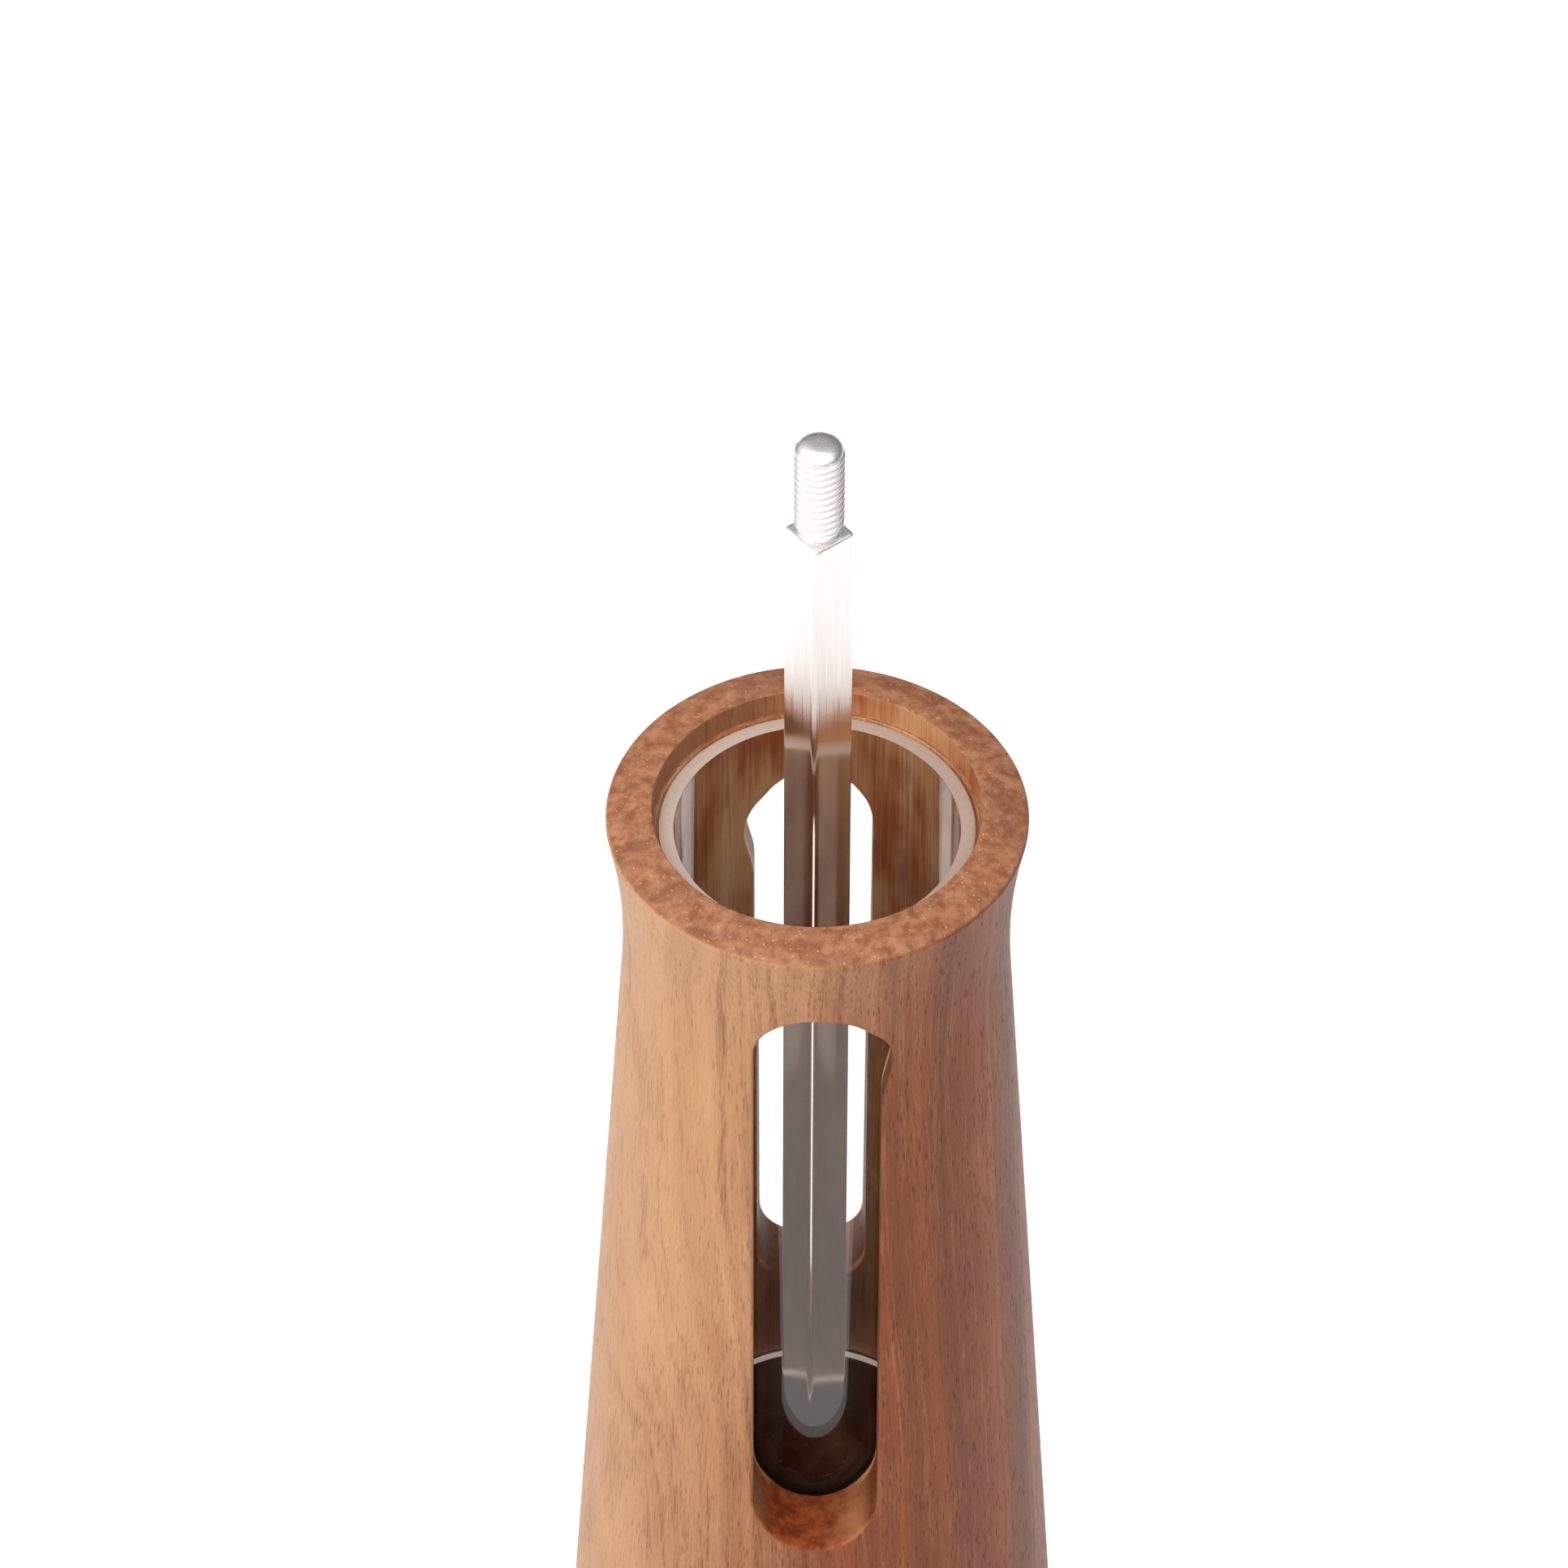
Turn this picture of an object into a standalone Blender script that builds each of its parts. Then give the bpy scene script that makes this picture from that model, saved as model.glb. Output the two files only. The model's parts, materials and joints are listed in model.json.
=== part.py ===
"""Wooden pepper mill with its head taken off for filling.

A turned wooden body with two window slots holds a clear tube. A square shaft with a threaded end runs
down the tube to a grinder in the base: a toothed ring in a plastic housing, and a toothed rotor that a
spring pushes down on to a steel bar. Lengths are in millimetres until the last step of each shape.
+Z is up, and the origin is the centre of the base.
"""

import math

import bmesh
import bpy
from mathutils import Matrix, Vector

MM = 0.001
MERGE = 0.00001

# Wooden body: a straight taper, an arc that flares out to the rim, and a rim that slopes to its edge.
BODY_HEIGHT = 145.0
TAPER = 0.0623
FLARE_START = 119.0
NECK_RADIUS = 23.65
FLARE_RADIUS = 93.0
RIM_FLAT_RADIUS = 21.6
RIM_SLOPE = (25.05, 0.95)
RIM_EDGE = (25.4, 1.45)
BASE_CHAMFER = 0.8
SEAT_RADIUS = 19.77
SEAT_DEPTH = 3.5
WOOD_STEPS = 72

# Clear tube inside the body.
TUBE_RADIUS = 19.0
TUBE_WALL = 1.8
TUBE_BOTTOM = 27.2
TUBE_GAP = 0.45

# Window slots, one at the front and the same shape turned half way round at the back. Each stands a
# little to its own right of the middle: its shift, and the height of its lowest edge.
SLOT_HALF_WIDTH = 7.7
SLOTS = ((0.15, 41.0), (0.4, 39.9))
SLOT_CROWN = 124.7
SLOT_OVERCUT = (2.6, 124.0, 6.3)
SLOT_OUTER_REACH = 40.0

# Grinder housing, pushed up into the base.
HOUSING_RADIUS = 20.5
HOUSING_TOP = TUBE_BOTTOM - 0.3
FLANGE_RADIUS = 25.9
FLANGE_BOTTOM = 3.6
FLANGE_THICKNESS = 2.0
POCKET_RADIUS = 17.9
POCKET_TOP = 15.5
THROAT_RADIUS = 13.6
FUNNEL_RADIUS = 16.4
LEDGE_HEIGHT = 16.9

# Clearance between pieces that rest on each other.
GAP = 0.3

# Ring and rotor. Their teeth run up cones that part as the rotor goes down.
CONE_SLOPE = 0.48
RING_RADIUS = 17.6
RING_TEETH = 24
RING_TOOTH_DEPTH = 0.9
RING_STRAIGHT_RADIUS = 11.4
RING_STRAIGHT_FROM = 9.0
ROTOR_BOTTOM = 5.2
ROTOR_TOP = 14.2
ROTOR_BOTTOM_RADIUS = 12.1
ROTOR_TOP_RADIUS = 7.2
ROTOR_TEETH = 18
ROTOR_TOOTH_DEPTH = 1.0
ROTOR_BORE = 5.15

# Shaft: a square bar with a threaded stud on top, turned about the axis as it stands.
SHAFT_SIDE = 6.0
SHAFT_CORNER = 0.55
SHAFT_TURN = math.radians(38.0)
SHAFT_BOTTOM = 4.8
SHAFT_SHOULDER = 190.7
STUD_TOP = 204.5
THREAD_CREST = 2.95
THREAD_ROOT = 2.42
THREAD_PITCH = 1.0
THREAD_STEPS = 24
THREAD_RUNOUT = 1.2
SHAFT_CLEARANCE_RADIUS = 4.4

# Rotor hub, and the washer and screw that hold the shaft in it.
HUB_RADIUS = 5.0
HUB_FOOT_RADIUS = 8.0
HUB_FOOT_TOP = 4.9
END_WASHER_RADIUS = 5.1
END_WASHER_TOP = 4.5
END_SCREW_LENGTH = 8.6

# Spring between the rotor and the bridge.
SPRING_BOTTOM = 15.6
SPRING_TOP = 22.8
SPRING_RADIUS = 5.3
SPRING_WIRE = 0.9
SPRING_TURNS = 4.5
SPRING_STEPS = 14
SPRING_END_EASE = 0.25
BRIDGE_HUB_BOTTOM = 24.0
BRIDGE_HUB_TOP = 28.0
BRIDGE_ARMS = 3
BRIDGE_ARM_HALF_WIDTH = 1.5

# Steel bar under the grinder, and the wood screws.
BAR_THICKNESS = 1.2
BAR_HALF_LENGTH = 25.7
BAR_HALF_WIDTH = 5.5
BAR_HOLE_RADIUS = 4.2
SCREW_CIRCLE = 23.2
SCREW_SHANK_RADIUS = 1.25
SCREW_HEAD_RADIUS = 2.4
SCREW_HEAD_HEIGHT = 1.4
SCREW_LENGTH = 14.0
SCREW_SEAT_GAP = 0.2
PILOT_RADIUS = 1.55
PILOT_TOP = 18.5

TURN_STEPS = 48
SMALL_STEPS = 24


# Scene, collections and materials


def clear_scene():
    """Removes what the scene holds, so that only this part is left."""
    for obj in list(bpy.data.objects):
        bpy.data.objects.remove(obj)


def collection(name, hidden=False):
    """A collection in the scene. A hidden one holds the cutters."""
    made = bpy.data.collections.new(name)
    made.hide_render = hidden
    bpy.context.scene.collection.children.link(made)
    return made


def material(name, colour, roughness, metallic=0.0, transmission=0.0):
    """A plain Principled material."""
    made = bpy.data.materials.new(name)
    made.use_nodes = True
    shader = made.node_tree.nodes["Principled BSDF"]
    shader.inputs["Base Color"].default_value = (*colour, 1.0)
    shader.inputs["Roughness"].default_value = roughness
    shader.inputs["Metallic"].default_value = metallic
    shader.inputs["Transmission Weight"].default_value = transmission
    return made


def place(obj, group, finish=None):
    """Links an object to its collection and gives it its material."""
    group.objects.link(obj)
    if finish is not None:
        obj.data.materials.clear()
        obj.data.materials.append(finish)
    return obj


# Shapes


def arc(centre, radius, start, end, steps):
    """Points on a circular arc. Angles are in degrees."""
    angles = [math.radians(start + (end - start) * k / steps) for k in range(steps + 1)]
    return [(centre[0] + radius * math.cos(a), centre[1] + radius * math.sin(a)) for a in angles]


def baked(obj):
    """The object with its modifiers or its curve turned into a plain mesh, in place."""
    graph = bpy.context.evaluated_depsgraph_get()
    graph.update()
    mesh = bpy.data.meshes.new_from_object(obj.evaluated_get(graph))
    shell = bmesh.new()
    shell.from_mesh(mesh)
    bmesh.ops.remove_doubles(shell, verts=shell.verts, dist=MERGE)
    shell.to_mesh(mesh)
    shell.free()
    made = bpy.data.objects.new(obj.name, mesh)
    made.matrix_world = obj.matrix_world
    name, groups = obj.name, list(obj.users_collection)
    bpy.data.objects.remove(obj)
    made.name = name
    for group in groups:
        group.objects.link(made)
    return made


def turned(name, group, finish, profile, steps=TURN_STEPS, closed=True):
    """A shape turned about Z from (radius, height) points that run down its outer side."""
    mesh = bpy.data.meshes.new(name)
    points = [(r * MM, 0.0, z * MM) for r, z in profile]
    edges = [(k, k + 1) for k in range(len(points) - 1)]
    if closed:
        edges.append((len(points) - 1, 0))
    mesh.from_pydata(points, edges, [])
    obj = place(bpy.data.objects.new(name, mesh), group, finish)
    screw = obj.modifiers.new("turn", "SCREW")
    screw.steps = steps
    screw.render_steps = steps
    screw.use_merge_vertices = True
    screw.merge_threshold = MERGE
    screw.use_smooth_shade = True
    return obj


def flat(name, group, finish, outline, thickness, matrix=None):
    """A flat outline in XY made a slab centred on Z = 0, then put in place as a mesh."""
    data = bpy.data.curves.new(name, "CURVE")
    data.dimensions = "2D"
    data.fill_mode = "BOTH"
    data.extrude = thickness / 2 * MM
    spline = data.splines.new("POLY")
    spline.points.add(len(outline) - 1)
    for point, (x, y) in zip(spline.points, outline):
        point.co = (x * MM, y * MM, 0.0, 1.0)
    spline.use_cyclic_u = True
    obj = place(bpy.data.objects.new(name, data), group, finish)
    if matrix is not None:
        obj.matrix_world = matrix
    return baked(obj)


def rod(name, group, radius, bottom, top, at=(0.0, 0.0), steps=SMALL_STEPS):
    """A plain cylinder along Z between two heights."""
    mesh = bpy.data.meshes.new(name)
    shell = bmesh.new()
    middle = Vector((at[0], at[1], (bottom + top) / 2)) * MM
    bmesh.ops.create_cone(
        shell,
        cap_ends=True,
        segments=steps,
        radius1=radius * MM,
        radius2=radius * MM,
        depth=(top - bottom) * MM,
        matrix=Matrix.Translation(middle),
    )
    shell.to_mesh(mesh)
    shell.free()
    return place(bpy.data.objects.new(name, mesh), group)


def combine(obj, others, operation):
    """A Boolean of the object with each of the others, which are then removed."""
    for other in others:
        step = obj.modifiers.new(operation.lower(), "BOOLEAN")
        step.operation = operation
        step.solver = "EXACT"
        step.object = other
        obj = baked(obj)
        bpy.data.objects.remove(other)
    obj.data.shade_smooth()
    obj.data.set_sharp_from_angle(angle=math.radians(30))
    return obj


def loft(name, group, finish, rows):
    """A ring-shaped shape through closed rows of points, the last row joined back to the first."""
    count = len(rows[0])
    points = [Vector(p) * MM for row in rows for p in row]
    faces = []
    for k in range(len(rows)):
        here, there = k * count, ((k + 1) % len(rows)) * count
        for j in range(count):
            side = (j + 1) % count
            faces.append((here + j, there + j, there + side, here + side))
    mesh = bpy.data.meshes.new(name)
    mesh.from_pydata(points, [], faces)
    return place(bpy.data.objects.new(name, mesh), group, finish)


def toothed_row(radius, depth, teeth, height, twist):
    """A row of points about Z whose radius goes to and fro between crest and root."""
    count = 2 * teeth
    row = []
    for k in range(count):
        angle = 2 * math.pi * k / count + math.radians(twist)
        reach = radius + depth * (k % 2)
        row.append((reach * math.cos(angle), reach * math.sin(angle), height))
    return row


def stand(turn=0.0):
    """Turns a slab drawn in XY so that it stands in XZ facing -Y, then swings it about Z."""
    return Matrix.Rotation(turn, 4, "Z") @ Matrix.Rotation(math.pi / 2, 4, "X")


# Wooden body and tube


def body_profile():
    """Section of the wooden body: rim, flare, taper and base outside, then the stepped bore inside."""
    rim_height = BODY_HEIGHT - RIM_EDGE[1]
    rim = [
        (RIM_FLAT_RADIUS, BODY_HEIGHT),
        (RIM_SLOPE[0], BODY_HEIGHT - RIM_SLOPE[1]),
        (RIM_EDGE[0], rim_height),
    ]
    lean = -math.atan(TAPER)
    top_lean = math.asin(math.sin(lean) + (rim_height - FLARE_START) / FLARE_RADIUS)
    flare = []
    for k in range(1, 8):
        angle = top_lean + (lean - top_lean) * k / 7
        radius = NECK_RADIUS + FLARE_RADIUS * (math.cos(lean) - math.cos(angle))
        flare.append((radius, FLARE_START + FLARE_RADIUS * (math.sin(angle) - math.sin(lean))))
    base = NECK_RADIUS + TAPER * FLARE_START
    outside = [
        *rim,
        *flare,
        (base - TAPER * BASE_CHAMFER, BASE_CHAMFER),
        (base - BASE_CHAMFER, 0.0),
    ]
    recess_top = FLANGE_BOTTOM + FLANGE_THICKNESS + GAP
    inside = [
        (FLANGE_RADIUS + GAP, 0.0),
        (FLANGE_RADIUS + GAP, recess_top),
        (HOUSING_RADIUS + GAP, recess_top),
        (HOUSING_RADIUS + GAP, TUBE_BOTTOM),
        (TUBE_RADIUS + TUBE_GAP, TUBE_BOTTOM),
        (TUBE_RADIUS + TUBE_GAP, BODY_HEIGHT - SEAT_DEPTH),
        (SEAT_RADIUS, BODY_HEIGHT - SEAT_DEPTH),
        (SEAT_RADIUS, BODY_HEIGHT - 0.25),
        (SEAT_RADIUS + 0.25, BODY_HEIGHT),
    ]
    return outside + inside


def slot_outline(lowest):
    """A window: a straight slot with round ends, whose upper right is cut a little wide."""
    over_x, over_z, over_r = SLOT_OVERCUT
    bottom = arc((0.0, lowest + SLOT_HALF_WIDTH), SLOT_HALF_WIDTH, 180, 360, 12)
    low = -math.degrees(math.acos((SLOT_HALF_WIDTH - over_x) / over_r))
    over = arc((over_x, over_z), over_r, low, 53, 7)
    top = arc((0.0, SLOT_CROWN), SLOT_HALF_WIDTH, 43, 180, 9)
    return bottom + over + top


def screw_places():
    """Places of the wood screws about the axis: the bar's two, then the flange's four."""
    angles = [0.0, 180.0, 45.0, 135.0, 225.0, 315.0]
    turns = [math.radians(a) for a in angles]
    return [(SCREW_CIRCLE * math.cos(a), SCREW_CIRCLE * math.sin(a)) for a in turns]


def wooden_body(group, cutters, finish):
    """The turned body with both windows and the screws' pilot holes."""
    body = turned("wooden_body", group, finish, body_profile(), WOOD_STEPS)
    tools = []
    for k, (shift, lowest) in enumerate(SLOTS):
        middle = Vector((shift, -SLOT_OUTER_REACH / 2, 0.0)) * MM
        matrix = Matrix.Rotation(math.pi * k, 4, "Z") @ Matrix.Translation(middle) @ stand()
        tools.append(flat(f"slot_cutter_{k}", cutters, None, slot_outline(lowest), SLOT_OUTER_REACH, matrix))
    for k, at in enumerate(screw_places()):
        tools.append(rod(f"pilot_cutter_{k}", cutters, PILOT_RADIUS, FLANGE_BOTTOM, PILOT_TOP, at, 12))
    return combine(body, tools, "DIFFERENCE")


def window_tube(group, finish):
    """The clear tube that lines the bore."""
    top, inner = BODY_HEIGHT - SEAT_DEPTH, TUBE_RADIUS - TUBE_WALL
    profile = [(TUBE_RADIUS, top), (TUBE_RADIUS, TUBE_BOTTOM), (inner, TUBE_BOTTOM), (inner, top)]
    return turned("window_tube", group, finish, profile, WOOD_STEPS)


# Shaft


def threaded_stud(group):
    """The stud with one helical ridge: root and crest lines climb one pitch a turn."""
    start = SHAFT_SHOULDER + THREAD_RUNOUT
    turns = int((STUD_TOP - 0.9 - start) / THREAD_PITCH) - 1
    steps = THREAD_STEPS
    last = turns * steps

    def spot(radius, index, height):
        angle = 2 * math.pi * index / steps
        return Vector((radius * math.cos(angle), radius * math.sin(angle), height)) * MM

    def climb(index):
        return start + THREAD_PITCH * index / steps

    bottom = [spot(THREAD_ROOT, k, SHAFT_SHOULDER - 1.0) for k in range(steps)]
    roots = [spot(THREAD_ROOT, k, climb(k)) for k in range(last + steps + 1)]
    crests = [spot(THREAD_CREST, k, climb(k) + THREAD_PITCH / 2) for k in range(last + 1)]
    top = [spot(THREAD_ROOT, k, STUD_TOP - 0.3) for k in range(steps)]
    cap = [spot(THREAD_ROOT - 0.3, k, STUD_TOP) for k in range(steps)]
    root0 = steps
    crest0 = root0 + len(roots)
    top0 = crest0 + len(crests)
    cap0 = top0 + steps

    faces = [tuple(reversed(range(steps))), tuple(range(cap0, cap0 + steps))]
    end = root0 + last
    for k in range(steps - 1):
        faces.append((k, k + 1, root0 + k + 1, root0 + k))
    for k in range(1, steps):
        faces.append((end + k, end + k + 1, top0 + (k + 1) % steps, top0 + k))
    faces.append((steps - 1, 0, root0, root0 + steps, root0 + steps - 1))
    faces.append((end, end + 1, top0 + 1, top0, end + steps))
    for k in range(steps):
        side = (k + 1) % steps
        faces.append((top0 + k, top0 + side, cap0 + side, cap0 + k))
    for k in range(last):
        faces.append((root0 + k, root0 + k + 1, crest0 + k + 1, crest0 + k))
        faces.append((crest0 + k, crest0 + k + 1, root0 + steps + k + 1, root0 + steps + k))
    faces.append((root0, crest0, root0 + steps))
    faces.append((end, end + steps, crest0 + last))
    mesh = bpy.data.meshes.new("stud")
    mesh.from_pydata(bottom + roots + crests + top + cap, [], faces)
    return place(bpy.data.objects.new("stud", mesh), group)


def rounded_square(side, corner, steps=3):
    """Outline of a square bar with rounded corners."""
    reach = side / 2 - corner
    outline = []
    for k in range(4):
        middle = (reach if k in (0, 3) else -reach, reach if k < 2 else -reach)
        outline += arc(middle, corner, 90 * k, 90 * k + 90, steps)
    return outline


def drive_shaft(group, cutters, finish):
    """The square bar, its threaded stud, and the hole for the screw in its foot."""
    length = SHAFT_SHOULDER - SHAFT_BOTTOM
    middle = Vector((0.0, 0.0, SHAFT_BOTTOM + length / 2)) * MM
    matrix = Matrix.Translation(middle) @ Matrix.Rotation(SHAFT_TURN, 4, "Z")
    outline = rounded_square(SHAFT_SIDE, SHAFT_CORNER)
    shaft = flat("drive_shaft", group, finish, outline, length, matrix)
    shaft = combine(shaft, [threaded_stud(cutters)], "UNION")
    hole = rod("shaft_hole", cutters, 1.6, SHAFT_BOTTOM - 1.0, SHAFT_BOTTOM + END_SCREW_LENGTH, steps=12)
    return combine(shaft, [hole], "DIFFERENCE")


# Grinder


def grinder_housing(group, cutters, finish):
    """The plastic cup: flange, pocket for the ring, throat, ledge for the bridge, and funnel."""
    flange_top = FLANGE_BOTTOM + FLANGE_THICKNESS
    profile = [
        (HOUSING_RADIUS, HOUSING_TOP),
        (HOUSING_RADIUS, flange_top),
        (FLANGE_RADIUS, flange_top),
        (FLANGE_RADIUS, FLANGE_BOTTOM),
        (POCKET_RADIUS, FLANGE_BOTTOM),
        (POCKET_RADIUS, POCKET_TOP),
        (THROAT_RADIUS, POCKET_TOP),
        (THROAT_RADIUS, LEDGE_HEIGHT),
        (FUNNEL_RADIUS, LEDGE_HEIGHT),
        (FUNNEL_RADIUS, LEDGE_HEIGHT + 2.4),
        (TUBE_RADIUS - TUBE_WALL, HOUSING_TOP),
    ]
    housing = turned("grinder_housing", group, finish, profile)
    low, high = FLANGE_BOTTOM - 1.0, flange_top + 0.6
    holes = [
        rod(f"flange_cutter_{k}", cutters, PILOT_RADIUS, low, high, at, 12)
        for k, at in enumerate(screw_places())
    ]
    return combine(housing, holes, "DIFFERENCE")


def grinding_ring(group, finish):
    """The fixed ring, toothed inside: a straight bore above a cone that widens downwards."""
    top, bottom = POCKET_TOP - GAP, FLANGE_BOTTOM + 0.1
    spread = CONE_SLOPE * (RING_STRAIGHT_FROM - bottom)
    sections = [
        (RING_RADIUS, 0.0, top, 0.0),
        (RING_RADIUS, 0.0, bottom, 0.0),
        (RING_STRAIGHT_RADIUS + spread, RING_TOOTH_DEPTH, bottom, 0.0),
        (RING_STRAIGHT_RADIUS, RING_TOOTH_DEPTH, RING_STRAIGHT_FROM, 4.0),
        (RING_STRAIGHT_RADIUS, RING_TOOTH_DEPTH, top, 9.0),
    ]
    rows = [toothed_row(r, depth, RING_TEETH, z, twist) for r, depth, z, twist in sections]
    return loft("grinding_ring", group, finish, rows)


def grinding_rotor(group, finish):
    """The moving cone with spiral teeth, bored for its hub."""
    knee_height = 10.0
    knee_radius = ROTOR_BOTTOM_RADIUS - CONE_SLOPE * (knee_height - ROTOR_BOTTOM)
    depth = -ROTOR_TOOTH_DEPTH
    sections = [
        (ROTOR_TOP_RADIUS, depth, ROTOR_TOP, 34.0),
        (knee_radius, depth, knee_height, 15.0),
        (ROTOR_BOTTOM_RADIUS, depth, ROTOR_BOTTOM, 0.0),
        (ROTOR_BORE, 0.0, ROTOR_BOTTOM, 0.0),
        (ROTOR_BORE, 0.0, ROTOR_TOP, 0.0),
    ]
    rows = [toothed_row(r, d, ROTOR_TEETH, z, twist) for r, d, z, twist in sections]
    return loft("grinding_rotor", group, finish, rows)


def rotor_hub(group, cutters, finish):
    """The plastic core of the rotor, with a square hole for the shaft and a foot under the cone."""
    profile = [
        (0.0, ROTOR_TOP),
        (HUB_RADIUS, ROTOR_TOP),
        (HUB_RADIUS, HUB_FOOT_TOP),
        (HUB_FOOT_RADIUS, HUB_FOOT_TOP),
        (HUB_FOOT_RADIUS, FLANGE_BOTTOM),
        (END_WASHER_RADIUS + GAP, FLANGE_BOTTOM),
        (END_WASHER_RADIUS + GAP, SHAFT_BOTTOM),
        (0.0, SHAFT_BOTTOM),
    ]
    hub = turned("rotor_hub", group, finish, profile, closed=False)
    outline = rounded_square(SHAFT_SIDE + 0.5, SHAFT_CORNER, 1)
    matrix = Matrix.Translation((0.0, 0.0, 10.0 * MM)) @ Matrix.Rotation(SHAFT_TURN, 4, "Z")
    hole = flat("hub_cutter", cutters, None, outline, 30.0, matrix)
    return combine(hub, [hole], "DIFFERENCE")


def washer(name, group, finish, inner, outer, bottom, top):
    """A flat washer about the axis."""
    profile = [(outer, top), (outer, bottom), (inner, bottom), (inner, top)]
    return turned(name, group, finish, profile, SMALL_STEPS)


def adjusting_spring(group, finish):
    """The compression spring, wound closer at both ends."""
    data = bpy.data.curves.new("adjusting_spring", "CURVE")
    data.dimensions = "3D"
    data.bevel_depth = SPRING_WIRE / 2 * MM
    data.bevel_resolution = 2
    data.use_fill_caps = True
    count = int(SPRING_TURNS * SPRING_STEPS) + 1
    low = SPRING_BOTTOM + SPRING_WIRE / 2
    rise = SPRING_TOP - SPRING_BOTTOM - SPRING_WIRE
    spline = data.splines.new("POLY")
    spline.points.add(count - 1)
    for k, point in enumerate(spline.points):
        share = k / (count - 1)
        angle = 2 * math.pi * SPRING_TURNS * share
        height = low + rise * (share - SPRING_END_EASE * math.sin(2 * math.pi * share) / (2 * math.pi))
        x, y = SPRING_RADIUS * math.cos(angle), SPRING_RADIUS * math.sin(angle)
        point.co = (x * MM, y * MM, height * MM, 1.0)
    return place(bpy.data.objects.new("adjusting_spring", data), group, finish)


def spring_bridge(group, cutters, finish):
    """The bridge over the throat: a ring on the ledge, arms that rise, and a hub round the shaft."""
    ring_low, ring_high = LEDGE_HEIGHT + GAP, LEDGE_HEIGHT + 2.1
    ring_inner, ring_outer = THROAT_RADIUS + 0.4, FUNNEL_RADIUS - GAP
    ring = [(ring_outer, ring_high), (ring_outer, ring_low), (ring_inner, ring_low), (ring_inner, ring_high)]
    bridge = turned("spring_bridge", group, finish, ring)
    hub = [
        (0.0, BRIDGE_HUB_TOP),
        (5.6, BRIDGE_HUB_TOP),
        (7.0, BRIDGE_HUB_TOP - 2.0),
        (7.0, BRIDGE_HUB_BOTTOM),
        (0.0, BRIDGE_HUB_BOTTOM),
    ]
    parts = [turned("bridge_hub", cutters, None, hub, SMALL_STEPS, closed=False)]
    arm = [
        (5.2, BRIDGE_HUB_TOP - 1.2),
        (5.2, BRIDGE_HUB_BOTTOM + 0.3),
        (7.4, BRIDGE_HUB_BOTTOM + 0.1),
        (ring_inner - 0.6, ring_high - 1.2),
        (ring_inner + 0.3, ring_low + 0.2),
        (ring_outer - 0.2, ring_low + 0.2),
        (ring_outer - 0.2, ring_high + 0.5),
        (7.6, BRIDGE_HUB_TOP - 1.4),
    ]
    for k in range(BRIDGE_ARMS):
        turn = math.radians(90 + 360 / BRIDGE_ARMS * k)
        width = 2 * BRIDGE_ARM_HALF_WIDTH
        parts.append(flat(f"bridge_arm_{k}", cutters, None, arm, width, stand(turn)))
    bridge = combine(bridge, parts, "UNION")
    low, high = BRIDGE_HUB_BOTTOM - 1.0, BRIDGE_HUB_TOP + 1.0
    bore = rod("bridge_bore", cutters, SHAFT_CLEARANCE_RADIUS, low, high)
    return combine(bridge, [bore], "DIFFERENCE")


# Fasteners


def cross_recess(group, name, bottom, reach, width, depth, at):
    """A cutter for the driver's cross in a screw head that faces down."""
    outline = []
    for k in range(4):
        turn = math.radians(90 * k)
        for x, y in ((width, -width), (reach, -width * 0.8), (reach, width * 0.8)):
            outline.append((x * math.cos(turn) - y * math.sin(turn), x * math.sin(turn) + y * math.cos(turn)))
    matrix = Matrix.Translation(Vector((at[0], at[1], bottom)) * MM)
    return flat(name, group, None, outline, 2 * depth, matrix)


def screw(name, group, cutters, finish, at, seat, radius, head, height, length):
    """A screw that stands head down: the seat is the height of its head's upper face."""
    profile = [
        (0.0, seat + length),
        (radius, seat + length - 1.6),
        (radius, seat),
        (head, seat),
        (head, seat - height * 0.45),
        (head * 0.72, seat - height),
        (0.0, seat - height),
    ]
    made = turned(name, group, finish, profile, SMALL_STEPS, closed=False)
    made.location = (at[0] * MM, at[1] * MM, 0.0)
    bpy.context.view_layer.update()
    recess = cross_recess(cutters, name + "_cutter", seat - height, head * 0.6, head * 0.13, height * 0.55, at)
    return combine(made, [recess], "DIFFERENCE")


def retainer_bar(group, cutters, finish):
    """The steel bar across the base that holds the rotor up, with round ends that follow the recess."""
    reach = math.degrees(math.asin(BAR_HALF_WIDTH / BAR_HALF_LENGTH))
    outline = arc((0.0, 0.0), BAR_HALF_LENGTH, -reach, reach, 4)
    outline += arc((0.0, 0.0), BAR_HALF_LENGTH, 180 - reach, 180 + reach, 4)
    top = FLANGE_BOTTOM - GAP
    matrix = Matrix.Translation((0.0, 0.0, (top - BAR_THICKNESS / 2) * MM))
    bar = flat("retainer_bar", group, finish, outline, BAR_THICKNESS, matrix)
    low, high = top - BAR_THICKNESS - 1.0, top + 1.0
    holes = [rod("bar_cutter", cutters, BAR_HOLE_RADIUS, low, high)]
    for k, at in enumerate(screw_places()[:2]):
        holes.append(rod(f"bar_hole_{k}", cutters, PILOT_RADIUS, low, high, at, 12))
    return combine(bar, holes, "DIFFERENCE")


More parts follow.
